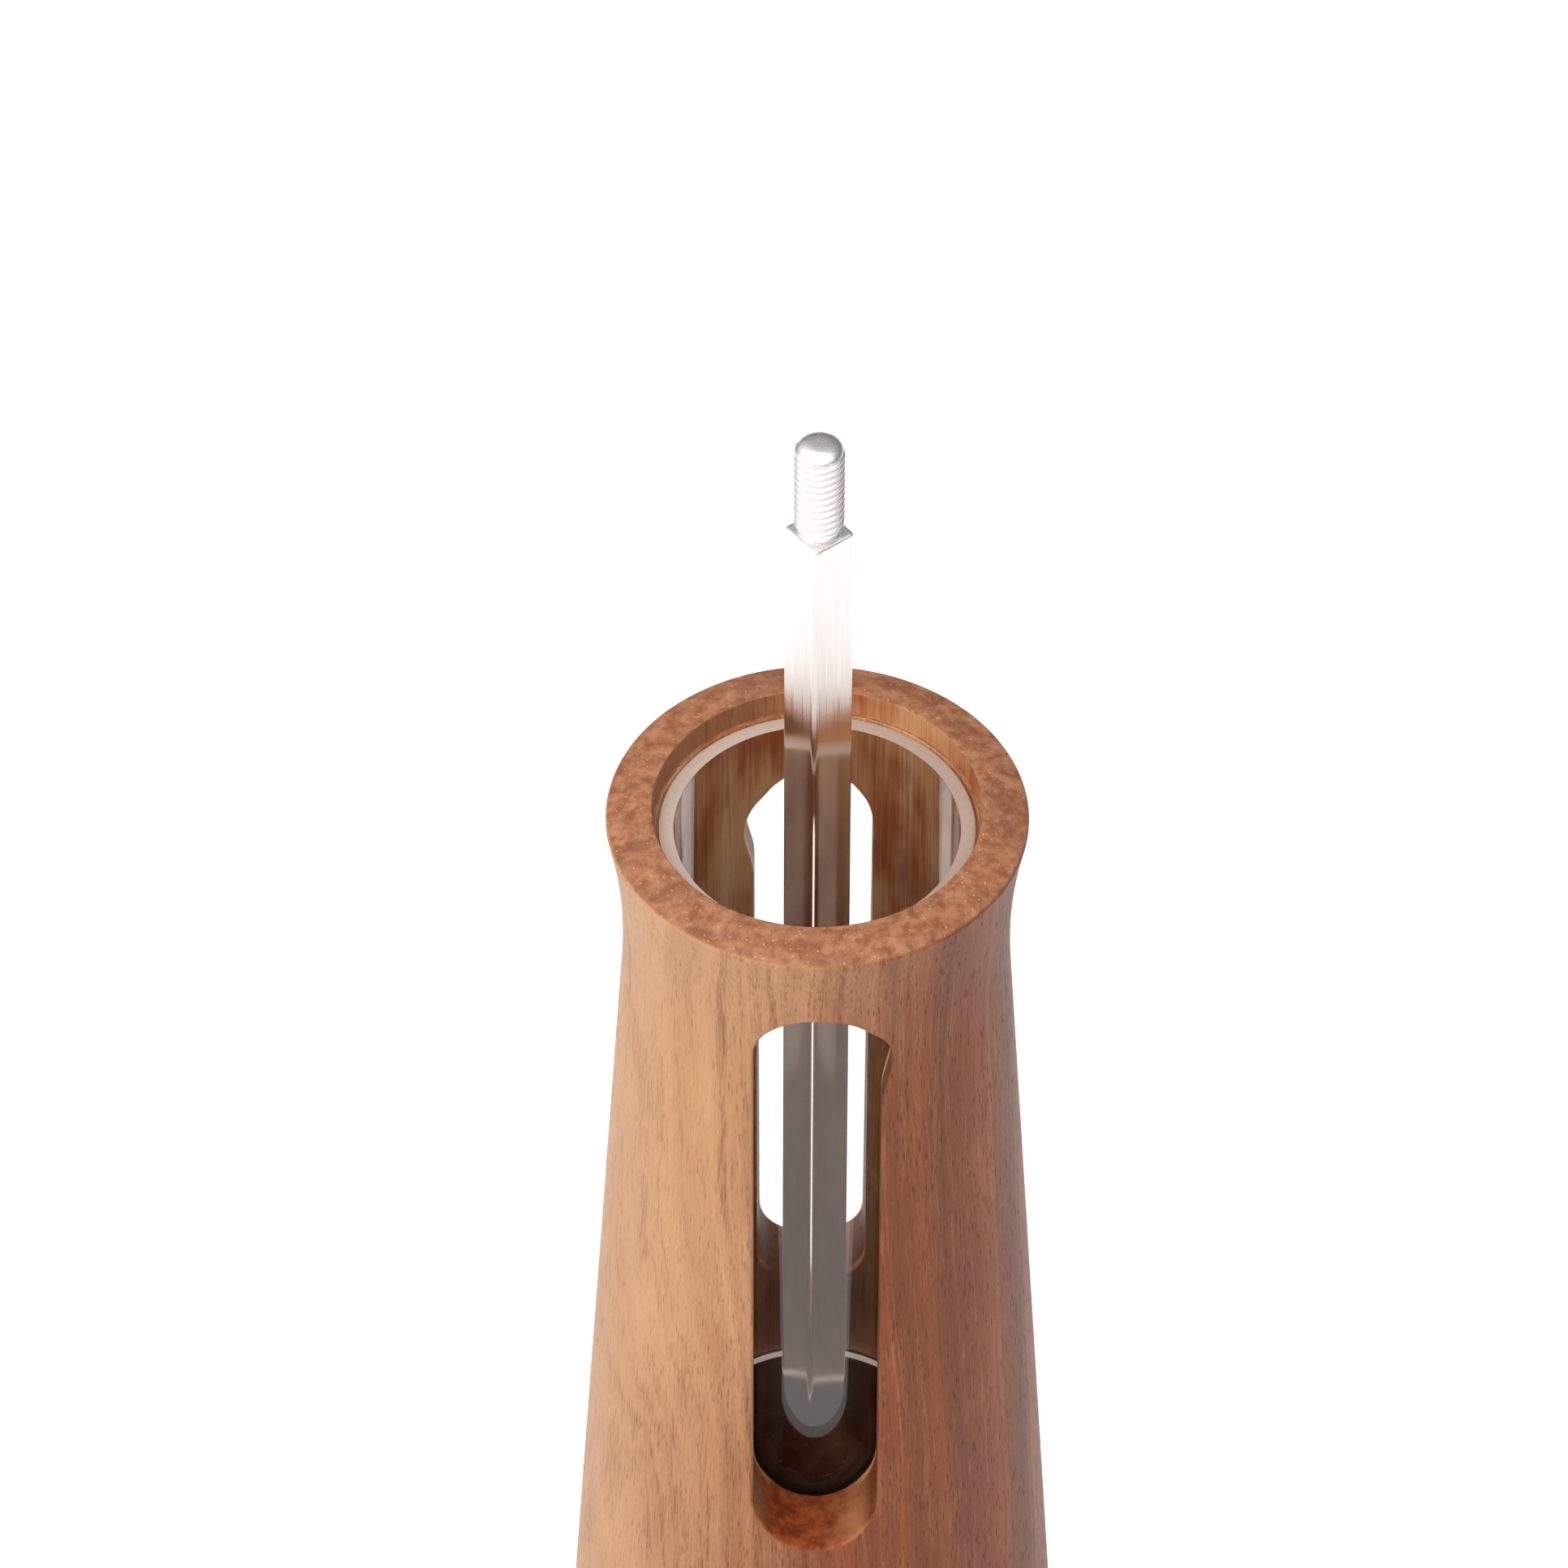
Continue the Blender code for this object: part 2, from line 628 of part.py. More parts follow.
def wood_screws(group, cutters, finish):
    """Two screws through the bar and four through the flange."""
    flange_seat = FLANGE_BOTTOM - SCREW_SEAT_GAP
    bar_seat = FLANGE_BOTTOM - GAP - BAR_THICKNESS - SCREW_SEAT_GAP
    names = ["bar_screw_1", "bar_screw_2"] + [f"flange_screw_{k}" for k in range(1, 5)]
    seats = [bar_seat] * 2 + [flange_seat] * 4
    for name, seat, at in zip(names, seats, screw_places()):
        screw(
            name, group, cutters, finish, at, seat,
            SCREW_SHANK_RADIUS, SCREW_HEAD_RADIUS, SCREW_HEAD_HEIGHT, SCREW_LENGTH,
        )


def build():
    """Models every piece of the mill."""
    clear_scene()
    mill = collection("pepper_mill")
    cutters = collection("cutters", hidden=True)
    wood = material("wood", (0.42, 0.2, 0.09), 0.45)
    acrylic = material("acrylic", (0.95, 0.93, 0.92), 0.05, transmission=1.0)
    aluminium = material("aluminium", (0.8, 0.8, 0.8), 0.25, metallic=1.0)
    plastic = material("black_plastic", (0.02, 0.02, 0.02), 0.45)
    ceramic = material("ceramic", (0.8, 0.78, 0.74), 0.35)
    steel = material("steel", (0.6, 0.6, 0.6), 0.3, metallic=1.0)

    wooden_body(mill, cutters, wood)
    window_tube(mill, acrylic)
    drive_shaft(mill, cutters, aluminium)
    grinder_housing(mill, cutters, plastic)
    grinding_ring(mill, ceramic)
    spring_bridge(mill, cutters, plastic)
    upper_bottom = SPRING_TOP + GAP
    upper_top = BRIDGE_HUB_BOTTOM - GAP
    washer("upper_spring_washer", mill, steel, SHAFT_CLEARANCE_RADIUS, 6.9, upper_bottom, upper_top)
    adjusting_spring(mill, steel)
    lower_bottom, lower_top = ROTOR_TOP + GAP, SPRING_BOTTOM - GAP
    washer("lower_spring_washer", mill, steel, SHAFT_CLEARANCE_RADIUS, 7.5, lower_bottom, lower_top)
    grinding_rotor(mill, ceramic)
    rotor_hub(mill, cutters, plastic)
    washer_bottom = FLANGE_BOTTOM + 0.1
    washer("shaft_end_washer", mill, steel, 1.8, END_WASHER_RADIUS, washer_bottom, END_WASHER_TOP)
    end_seat = washer_bottom - GAP
    screw("shaft_end_screw", mill, cutters, steel, (0.0, 0.0), end_seat, 1.3, 2.8, 1.4, END_SCREW_LENGTH)
    retainer_bar(mill, cutters, steel)
    wood_screws(mill, cutters, steel)


build()
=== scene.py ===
"""Looks of the wooden pepper mill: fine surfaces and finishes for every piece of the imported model.

Shapes are worked out in millimetres and become metres when a mesh is made. +Z is up, and the front
window faces -Y. Angles called "turn" are measured about Z from the front window's middle.
"""

import json
import math

import bmesh
import bpy
import numpy as np
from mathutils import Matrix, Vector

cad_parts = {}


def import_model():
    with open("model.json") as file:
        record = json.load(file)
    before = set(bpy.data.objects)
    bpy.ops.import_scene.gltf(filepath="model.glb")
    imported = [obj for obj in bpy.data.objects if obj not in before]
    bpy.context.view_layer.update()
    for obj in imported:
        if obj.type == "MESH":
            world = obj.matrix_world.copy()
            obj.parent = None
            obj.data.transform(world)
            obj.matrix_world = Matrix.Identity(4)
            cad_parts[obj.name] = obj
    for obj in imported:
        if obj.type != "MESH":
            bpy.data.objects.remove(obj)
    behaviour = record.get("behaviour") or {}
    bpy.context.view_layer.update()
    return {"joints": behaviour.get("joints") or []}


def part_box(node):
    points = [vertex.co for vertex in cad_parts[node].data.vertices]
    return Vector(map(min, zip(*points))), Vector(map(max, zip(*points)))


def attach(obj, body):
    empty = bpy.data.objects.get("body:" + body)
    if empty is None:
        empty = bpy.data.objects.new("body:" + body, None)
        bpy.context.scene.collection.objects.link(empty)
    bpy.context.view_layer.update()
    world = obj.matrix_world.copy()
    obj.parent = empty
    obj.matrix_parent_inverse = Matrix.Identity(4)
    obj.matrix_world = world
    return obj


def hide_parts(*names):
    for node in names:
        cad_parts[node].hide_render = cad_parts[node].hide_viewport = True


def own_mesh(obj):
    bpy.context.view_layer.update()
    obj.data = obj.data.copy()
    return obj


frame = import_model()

MM = 0.001
TAU = 2 * math.pi


def reach(node):
    """How far a node lies from the axis along +X, in millimetres."""
    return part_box(node)[1].x / MM


def bottom(node):
    """Lowest height of a node, in millimetres."""
    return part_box(node)[0].z / MM


def top(node):
    """Highest height of a node, in millimetres."""
    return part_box(node)[1].z / MM


# Wooden body
RIM_TOP = top("wooden_body")
RIM_FLAT_RADIUS = 21.6
RIM_SLOPE = (25.05, 0.95)
RIM_EDGE = (25.4, 1.45)
NECK_RADIUS = 23.65
NECK_HEIGHT = 119.0
TAPER = 0.0623
FLARE_RADIUS = 93.0
BASE_EASE = 0.8
SEAT_RADIUS = 19.77
SEAT_FLOOR = top("window_tube")
BORE_RADIUS = reach("window_tube") + 0.45
RECESS_RADIUS = reach("grinder_housing") + 0.3
RECESS_TOP = 5.9
POCKET_RADIUS = 20.8
POCKET_TOP = bottom("window_tube")

# Windows
WINDOW_HALF_WIDTH = 7.7
WINDOW_SHIFTS = (0.15, 0.4)
WINDOW_BOTTOMS = (41.0, 39.9)
WINDOW_CROWN = 124.7
OVERCUT = (2.6, 124.0, 6.3)
WINDOW_EASE = 0.68
WINDOW_INNER_EASE = 0.12
PANEL_TURN = math.radians(30)
PANEL_MARGIN = 5.0
PANEL_COLUMNS = 48
PANEL_ROWS = 120
SIDE_COLUMNS = 44


# Meshes


def smooth(lo, hi, value):
    """Rises from 0 at lo to 1 at hi with level ends."""
    share = np.clip((value - lo) / (hi - lo), 0, 1)
    return share * share * (3 - 2 * share)


def grid_faces(rows, columns, start, around, along):
    """Corner numbers of a grid's quads. around joins its last column to its first, along its last row."""
    across = np.arange(columns if around else columns - 1)
    down = np.arange(rows if along else rows - 1)
    k, j = np.meshgrid(down, across, indexing="ij")
    here, there = k * columns, ((k + 1) % rows) * columns
    side = (j + 1) % columns
    return start + np.stack([here + j, here + side, there + side, there + j], -1).reshape(-1, 4)


def solid(name, grids, merge=1e-6):
    """A closed mesh from grids of points in millimetres, each (points, around, along), with welded seams."""
    points, faces, start = [], [], 0
    for grid, around, along in grids:
        rows, columns = grid.shape[:2]
        points.append(grid.reshape(-1, 3))
        faces.append(grid_faces(rows, columns, start, around, along))
        start += rows * columns
    mesh = bpy.data.meshes.new(name)
    mesh.from_pydata((np.concatenate(points) * MM).tolist(), [], np.concatenate(faces).tolist())
    shell = bmesh.new()
    shell.from_mesh(mesh)
    bmesh.ops.remove_doubles(shell, verts=shell.verts, dist=merge)
    bmesh.ops.dissolve_degenerate(shell, edges=shell.edges, dist=merge)
    bmesh.ops.recalc_face_normals(shell, faces=shell.faces)
    shell.to_mesh(mesh)
    shell.free()
    return mesh


def smooth_shaded(mesh, angle=35):
    """Shades a mesh smooth except across edges sharper than the angle."""
    mesh.shade_smooth()
    mesh.set_sharp_from_angle(angle=math.radians(angle))
    return mesh


def show(name, mesh, finish, body, slot, *nodes, angle=35):
    """Puts a finished mesh in the scene in place of the nodes it stands for, and on their body."""
    piece = bpy.data.objects.new(name, smooth_shaded(mesh, angle))
    bpy.context.scene.collection.objects.link(piece)
    mesh.materials.clear()
    mesh.materials.append(finish.material)
    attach(piece, body)
    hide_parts(*nodes)
    return piece


def eased(points, ease, steps=4, closed=True):
    """A profile whose corners become short quadratic curves that start and end one ease from the corner."""
    points = np.asarray(points, float)
    before, after = np.roll(points, 1, 0) - points, np.roll(points, -1, 0) - points
    ease = np.broadcast_to(np.asarray(ease, float), len(points))[:, None]

    def step(edge):
        length = np.linalg.norm(edge, axis=1, keepdims=True)
        return edge * np.minimum(ease, 0.45 * length) / np.maximum(length, 1e-9)

    share = np.linspace(0, 1, steps + 1)[None, :, None]
    start, end = (points + step(before))[:, None], (points + step(after))[:, None]
    curve = (1 - share) ** 2 * start + 2 * share * (1 - share) * points[:, None] + share**2 * end
    if not closed:
        curve = [points[:1], *curve[1:-1], points[-1:]]
    return np.concatenate(list(curve))


def round_grid(radius, turns, height):
    """Grid of points about Z: X is radius times the turn's sine, and Y minus radius times its cosine."""
    return np.stack([radius * np.sin(turns), -radius * np.cos(turns), height + 0 * turns], -1)


def swept_round(profile, turns):
    """Grid of a profile of (radius, height) carried round Z: one row for each point of the profile."""
    profile = np.asarray(profile, float)
    return round_grid(profile[:, :1], turns, profile[:, 1:])


def off_axis(turn, distance):
    """Centre of something that stands off the axis."""
    return distance * math.sin(turn), -distance * math.cos(turn), 0


def full_turn(steps):
    """Evenly spaced turns that stop one step short of a whole one."""
    return np.arange(steps) * TAU / steps


def held(profile, margin=0.12):
    """A closed profile with points added near both ends of its long sides, so that they shade flat."""
    profile = np.asarray(profile, float)
    parts = []
    for start, end in zip(profile, np.roll(profile, -1, 0)):
        length = np.linalg.norm(end - start)
        shares = [0.0]
        if length > 6 * margin:
            shares += [margin / length, *np.linspace(0, 1, int(length / 9) + 2)[1:-1], 1 - margin / length]
        parts.append(start + (end - start) * np.array(shares)[:, None])
    return np.concatenate(parts)


def ring_mesh(name, profile, ease=0.1, steps=96):
    """A closed profile, eased and carried round Z."""
    return solid(name, [(swept_round(held(eased(profile, ease)), full_turn(steps)), True, True)])


# Wooden body


def outer_radius(height):
    """The body's outside below the rim's rounding: a straight taper, then a circular flare above the neck."""
    lean = math.atan(TAPER)
    rise = (height - NECK_HEIGHT) / FLARE_RADIUS - math.sin(lean)
    flare = NECK_RADIUS + FLARE_RADIUS * (math.cos(lean) - np.sqrt(np.maximum(1 - rise**2, 0)))
    return np.where(height < NECK_HEIGHT, NECK_RADIUS + TAPER * (NECK_HEIGHT - height), flare)


def window_outline(lowest):
    """The window's edge in X and Z: a slot with round ends, widened at its upper right, smoothed."""
    low, high = lowest + WINDOW_HALF_WIDTH, WINDOW_CROWN
    over_x, over_z, over_r = OVERCUT
    swing = np.linspace(0, math.pi, 4000)
    height = (low + high) / 2 - ((high - low) / 2 + WINDOW_HALF_WIDTH) * np.cos(swing)
    beyond = np.maximum(np.abs(height - (low + high) / 2) - (high - low) / 2, 0)
    left = np.sqrt(np.maximum(WINDOW_HALF_WIDTH**2 - beyond**2, 0))
    over = np.sqrt(np.maximum(over_r**2 - (height - over_z) ** 2, 0))
    flank = smooth(over_z - 8.0, over_z, height) * (over_x + over_r - WINDOW_HALF_WIDTH)
    beside = np.where(height < over_z, WINDOW_HALF_WIDTH + flank, np.where(over > 0, over_x + over, 0))
    right = np.maximum(left, np.where(height > low, beside, 0))
    edge = np.concatenate([np.stack([-left, height], 1)[::-1], np.stack([right, height], 1)[1:-1]])
    length = np.concatenate([[0], np.cumsum(np.linalg.norm(np.diff(edge, axis=0, append=edge[:1]), axis=1))])
    even = np.linspace(0, length[-1], 4097)[:-1]
    closed = np.concatenate([edge, edge[:1]])
    edge = np.stack([np.interp(even, length, closed[:, k]) for k in (0, 1)], 1)
    waves = np.fft.fftfreq(len(edge), length[-1] / len(edge))
    soften = np.exp(-2 * (math.pi * 0.45 * waves) ** 2)[:, None]
    return np.real(np.fft.ifft(np.fft.fft(edge, axis=0) * soften, axis=0))


def window_loop(lowest):
    """The outline at the panel's own spacing: bottom, right side, crown and left side, from lower left."""
    edge = window_outline(lowest)
    across = math.sqrt(0.5) * WINDOW_HALF_WIDTH
    low, high = lowest + WINDOW_HALF_WIDTH - across, WINDOW_CROWN + across
    corners = [(-across, low), (across, low), (across, high), (-across, high)]
    at = [int(np.argmin(np.linalg.norm(edge - corner, axis=1))) for corner in corners]
    counts = [PANEL_COLUMNS, PANEL_ROWS, PANEL_COLUMNS, PANEL_ROWS]
    picks = []
    for k, count in enumerate(counts):
        span = (at[(k + 1) % 4] - at[k]) % len(edge)
        picks.append(at[k] + np.arange(count) * span / count)
    place = np.concatenate(picks)
    low_index = np.floor(place).astype(int)
    part = (place - low_index)[:, None]
    return edge[low_index % len(edge)] * (1 - part) + edge[(low_index + 1) % len(edge)] * part


def panel_border(radius_at, low, high):
    """The panel's rectangle in X and Z on a surface of revolution, point for point with the window's loop."""
    turns = np.linspace(-PANEL_TURN, PANEL_TURN, PANEL_COLUMNS + 1)
    heights = np.linspace(low, high, PANEL_ROWS + 1)
    turn = np.concatenate([
        turns[:-1], np.full(PANEL_ROWS, PANEL_TURN), turns[:0:-1], np.full(PANEL_ROWS, -PANEL_TURN),
    ])
    height = np.concatenate([
        np.full(PANEL_COLUMNS, low), heights[:-1], np.full(PANEL_COLUMNS, high), heights[:0:-1],
    ])
    return np.stack([radius_at(height) * np.sin(turn), height], 1)


def on_surface(flat, radius_at):
    """Points in X and Z put on the front of a surface of revolution."""
    x, z = flat[..., 0], flat[..., 1]
    return np.stack([x, -np.sqrt(radius_at(z) ** 2 - x**2), z], -1)


def bore_radius(height):
    """The bore that holds the tube."""
    return BORE_RADIUS + 0 * height


def wandering(count, waves, seed):
    """A smooth closed random line: a sum of the first few waves round a loop, about -1 to 1."""
    own = np.random.default_rng(seed)
    angle = full_turn(count)[:, None] * np.arange(1, waves + 1)
    size = own.normal(size=(2, waves)) / math.sqrt(waves)
    return (np.cos(angle) @ size[0] + np.sin(angle) @ size[1]) / 1.4


def window_panel(low, high, side, seed):
    """One window in its panel: the outside round it, the eased edge led into the cut wall, and the bore."""
    loop = window_loop(WINDOW_BOTTOMS[side]) + (WINDOW_SHIFTS[side], 0)
    along = np.roll(loop, -1, 0) - np.roll(loop, 1, 0)
    outward = np.stack([along[:, 1], -along[:, 0]], 1) / np.linalg.norm(along, axis=1, keepdims=True)
    count = len(loop)
    ease = (WINDOW_EASE * (1 + 0.16 * wandering(count, 24, seed)))[:, None]
    fray = 0.05 * wandering(count, 130, seed + 1)
    fray = (WINDOW_INNER_EASE * (1 + 0.5 * wandering(count, 60, seed + 2)))[:, None] + np.abs(fray)[:, None]

    spread = (np.arange(17) / 16)[:, None, None] ** 1.5
    outer_border = panel_border(outer_radius, low, high)
    inner_border = panel_border(bore_radius, low, high)
    outside = on_surface((loop + outward * ease) * (1 - spread) + outer_border * spread, outer_radius)
    inside = on_surface((loop + outward * fray) * (1 - spread) + inner_border * spread, bore_radius)

    bend = np.linspace(0, math.pi / 2, 9)[:, None, None]
    edge = on_surface(loop + outward * ease * (1 - np.sin(bend)), outer_radius)
    edge[..., 1] += ease[:, 0] * (1 - np.cos(bend[..., 0]))
    lip = on_surface(loop + outward * fray * (1 - np.sin(bend[::2])), bore_radius)
    lip[..., 1] -= fray[:, 0] * (1 - np.cos(bend[::2, :, 0]))
    share = np.linspace(0, 1, 13)[:, None, None]
    wall = edge[-1] * (1 - share) + lip[-1] * share
    return [(part, True, False) for part in (outside[::-1], edge, wall, lip[::-1], inside)]


def half_turned(grids):
    """The same grids turned half way round Z."""
    return [(points * (-1, -1, 1), around, along) for points, around, along in grids]


def side_strip(radius_at, low, high, flip):
    """The plain surface between the two panels on the +X side."""
    turns = np.linspace(PANEL_TURN, math.pi - PANEL_TURN, SIDE_COLUMNS + 1)
    heights = np.linspace(low, high, PANEL_ROWS + 1)
    profile = np.stack([radius_at(heights), heights], 1)
    return (swept_round(profile[::-1] if flip else profile, turns), False, False)


def body_turns():
    """Turns of every column round the body, panels and sides."""
    panel = np.linspace(-PANEL_TURN, PANEL_TURN, PANEL_COLUMNS + 1)[:-1]
    side = np.linspace(PANEL_TURN, math.pi - PANEL_TURN, SIDE_COLUMNS + 1)[:-1]
    return np.concatenate([panel, side, panel + math.pi, side + math.pi])


def wooden_body(finish):
    """The turned body: two window panels, two sides, and profiles carried round below and above them."""
    low = min(WINDOW_BOTTOMS) - PANEL_MARGIN
    high = WINDOW_CROWN + WINDOW_HALF_WIDTH + PANEL_MARGIN
    base = outer_radius(np.array(0.0)) - BASE_EASE
    lower = np.linspace(low, BASE_EASE, 14)
    foot = eased(
        [
            (outer_radius(np.array(BASE_EASE)), BASE_EASE),
            (base + BASE_EASE * 0.75, 0.12),
            (base, 0.0),
            (RECESS_RADIUS, 0.0),
            (RECESS_RADIUS, RECESS_TOP),
            (POCKET_RADIUS, RECESS_TOP),
            (POCKET_RADIUS, POCKET_TOP),
            (BORE_RADIUS, POCKET_TOP),
            (BORE_RADIUS, low),
        ],
        [0, 0.3, 0.3, 0.35, 0.2, 0.2, 0.2, 0.15, 0],
        closed=False,
    )
    below = np.concatenate([np.stack([outer_radius(lower), lower], 1)[:-1], foot])
    upper = np.linspace(high, RIM_TOP - RIM_EDGE[1], 20)
    mouth = eased(
        [
            (outer_radius(upper[-2]), upper[-2]),
            (outer_radius(upper[-1]), upper[-1]),
            (RIM_SLOPE[0], RIM_TOP - RIM_SLOPE[1]),
            (RIM_FLAT_RADIUS, RIM_TOP),
            (SEAT_RADIUS, RIM_TOP),
            (SEAT_RADIUS, SEAT_FLOOR),
            (BORE_RADIUS, SEAT_FLOOR),
            (BORE_RADIUS, high),
        ],
        [0, 0.3, 0.35, 1.6, 0.2, 0.12, 0.12, 0],
        closed=False,
    )
    above = np.concatenate([np.stack([outer_radius(upper), upper], 1)[:-2], mouth])
    turns = body_turns()
    grids = [(swept_round(below[::-1], turns), True, False), (swept_round(above, turns), True, False)]
    grids += window_panel(low, high, 0, 3)
    grids += half_turned(window_panel(low, high, 1, 8))
    sides = [side_strip(outer_radius, low, high, False), side_strip(bore_radius, low, high, True)]
    grids += sides + half_turned(sides)
    mesh = solid("turned_body", grids)
    return show("turned_body", mesh, finish, "mill_body", "wood", "wooden_body")


# Clear tube

TUBE_WALL = 1.8


def clear_tube(finish):
    """The liner: a rectangle with slightly eased corners carried round Z."""
    outer, low, high = reach("window_tube"), bottom("window_tube"), top("window_tube")
    inner = outer - TUBE_WALL
    profile = [(outer, low), (outer, high), (inner, high), (inner, low)]
    mesh = ring_mesh("clear_tube", profile, 0.12, 192)
    return show("clear_tube", mesh, finish, "mill_body", "acrylic", "window_tube")


# Shaft

SHAFT_SIDE = 6.0
SHAFT_CORNER = 0.55
SHAFT_TURN = math.radians(38)
SHAFT_BOTTOM = bottom("drive_shaft")
SHAFT_TOP = top("drive_shaft")
SHOULDER = 190.7
THREAD_CREST = 2.95
THREAD_ROOT = 2.4
THREAD_PITCH = 1.0
DOME_HEIGHT = 1.5
SCREW_BORE = 1.6
SCREW_BORE_DEPTH = 8.6


def square_outline(turns, side, corner):
    """Radius of a square with rounded corners: where each turn's ray meets a side or a corner's arc."""
    folded = np.abs((turns + math.pi / 4) % (math.pi / 2) - math.pi / 4)
    flat = side / 2 / np.cos(folded)
    inset = side / 2 - corner
    diagonal = math.hypot(inset, inset)
    off = folded - math.pi / 4
    arc = diagonal * np.cos(off) + np.sqrt(np.maximum(corner**2 - (diagonal * np.sin(off)) ** 2, 0))
    return np.where(np.tan(folded) * side / 2 > inset, arc, flat)


def thread_radius(turns, heights, root, crest, pitch):
    """Radius of a helical thread: a rounded triangle wave of height less turn, right-handed."""
    phase = (heights / pitch - turns / TAU) % 1.0
    wave = 1 - np.abs(2 * phase - 1)
    return root + (crest - root) * smooth(0.06, 0.9, wave)


def drive_shaft(finish):
    """One surface from the foot's screw bore, up the square bar and over its shoulder to the domed tip."""
    turns = full_turn(240)
    square = square_outline(turns, SHAFT_SIDE, SHAFT_CORNER)
    turns_out = turns + SHAFT_TURN
    rows, levels = [], []

    def row(radius, height):
        rows.append(radius + 0 * turns)
        levels.append(height)

    bore_top = SHAFT_BOTTOM + SCREW_BORE_DEPTH
    row(0.0, bore_top + 0.8)
    row(SCREW_BORE, bore_top)
    row(SCREW_BORE, SHAFT_BOTTOM + 0.2)
    row(SCREW_BORE + 0.2, SHAFT_BOTTOM)
    row(square - 0.2, SHAFT_BOTTOM)
    for height in np.concatenate([[SHAFT_BOTTOM + 0.2], np.linspace(8, SHOULDER - 0.45, 40)]):
        row(square, height)
    row(square - 0.05, SHOULDER - 0.2)
    row(square - 0.2, SHOULDER - 0.04)
    row(square - 0.35, SHOULDER)
    row((square + THREAD_ROOT) / 2, SHOULDER)
    row(THREAD_ROOT + 0.25, SHOULDER)
    row(THREAD_ROOT + 0.05, SHOULDER + 0.1)
    grid_radius = np.array(rows)
    grid_height = np.repeat(np.array(levels)[:, None], len(turns), 1)

    heights = np.arange(SHOULDER + 0.2, SHAFT_TOP - DOME_HEIGHT, 0.05)[:, None]
    thread = thread_radius(turns_out[None], heights, THREAD_ROOT, THREAD_CREST, THREAD_PITCH)
    run_in = smooth(SHOULDER + 0.3, SHOULDER + 1.3, heights)
    thread = THREAD_ROOT + (thread - THREAD_ROOT) * run_in
    tip = np.linspace(0, 1, 24)[:, None]
    tip_height = SHAFT_TOP - DOME_HEIGHT + DOME_HEIGHT * np.sin(tip * math.pi / 2)
    dome = THREAD_CREST * np.cos(tip * math.pi / 2) ** 0.62
    tip_thread = thread_radius(turns_out[None], tip_height, THREAD_ROOT, THREAD_CREST, THREAD_PITCH)
    tip_radius = np.minimum(dome, tip_thread)
    grid_radius = np.concatenate([grid_radius, thread, tip_radius])
    grid_height = np.concatenate([grid_height, heights + 0 * turns, tip_height + 0 * turns])
    mesh = solid("square_shaft", [(round_grid(grid_radius, turns_out, grid_height), True, False)])
    return show("square_shaft", mesh, finish, "drive", "aluminium", "drive_shaft")


# Grinder


def screw_places():
    """Turns of the six wood screws: the bar's two on the X axis, then the flange's four between them."""
    return [math.radians(a) for a in (90, 270, 45, 135, 225, 315)]


SCREW_CIRCLE = 23.2
SCREW_HOLE = 1.55


def cut(mesh, cutter, operation="DIFFERENCE"):
    """The mesh after an exact Boolean with another mesh."""
    first = bpy.data.objects.new("kept", mesh)
    second = bpy.data.objects.new("tool", cutter)
    for part in (first, second):
        bpy.context.scene.collection.objects.link(part)
    step = first.modifiers.new("step", "BOOLEAN")
    step.operation = operation
    step.solver = "EXACT"
    step.object = second
    graph = bpy.context.evaluated_depsgraph_get()
    graph.update()
    made = bpy.data.meshes.new_from_object(first.evaluated_get(graph))
    made.name = mesh.name
    for part in (first, second):
        bpy.data.objects.remove(part)
    return made


def cylinder(radius, low, high, turn, distance, steps=32):
    """Grid of a plain closed cylinder that stands off the axis."""
    profile = [(0, low), (radius, low), (radius, high), (0, high)]
    return (swept_round(profile, full_turn(steps)) + off_axis(turn, distance), True, False)


def grinder_housing(finish):
    """The cup with its flange, ring pocket, throat, bridge ledge and funnel, drilled for the screws."""
    high, low = top("grinder_housing"), bottom("grinder_housing")
    flange = low + 2.0
    profile = [
        (20.5, high), (20.5, flange), (25.9, flange), (25.9, low), (17.9, low), (17.9, 15.5),
        (13.6, 15.5), (13.6, 16.9), (16.4, 16.9), (16.4, 19.3), (17.2, high),
    ]
    mesh = ring_mesh("housing_cup", profile[::-1], 0.25)
    holes = [cylinder(SCREW_HOLE, low - 1, flange + 0.6, turn, SCREW_CIRCLE) for turn in screw_places()]
    mesh = cut(mesh, solid("holes", holes))
    return show("housing_cup", mesh, finish, "mill_body", "black_plastic", "grinder_housing")


def toothed(profile, teeth, depth, twist, samples=10, sharp=0.72):
    """Grid of a profile carried round Z, its radius changed by saw teeth with a depth and twist per point."""
    turns = full_turn(teeth * samples)
    profile, depth, twist = np.asarray(profile, float), np.asarray(depth)[:, None], np.asarray(twist)[:, None]
    phase = (turns * teeth / TAU) % 1.0
    saw = np.where(phase < sharp, phase / sharp, (1 - phase) / (1 - sharp))
    radius = profile[:, :1] + depth * saw
    return round_grid(radius, turns + np.radians(twist), profile[:, 1:])


def finer(points, count):
    """Points put evenly on the straight lines between a few given ones."""
    points = np.asarray(points, float)
    place = np.linspace(0, len(points) - 1, count)
    return np.stack([np.interp(place, np.arange(len(points)), column) for column in points.T], 1)


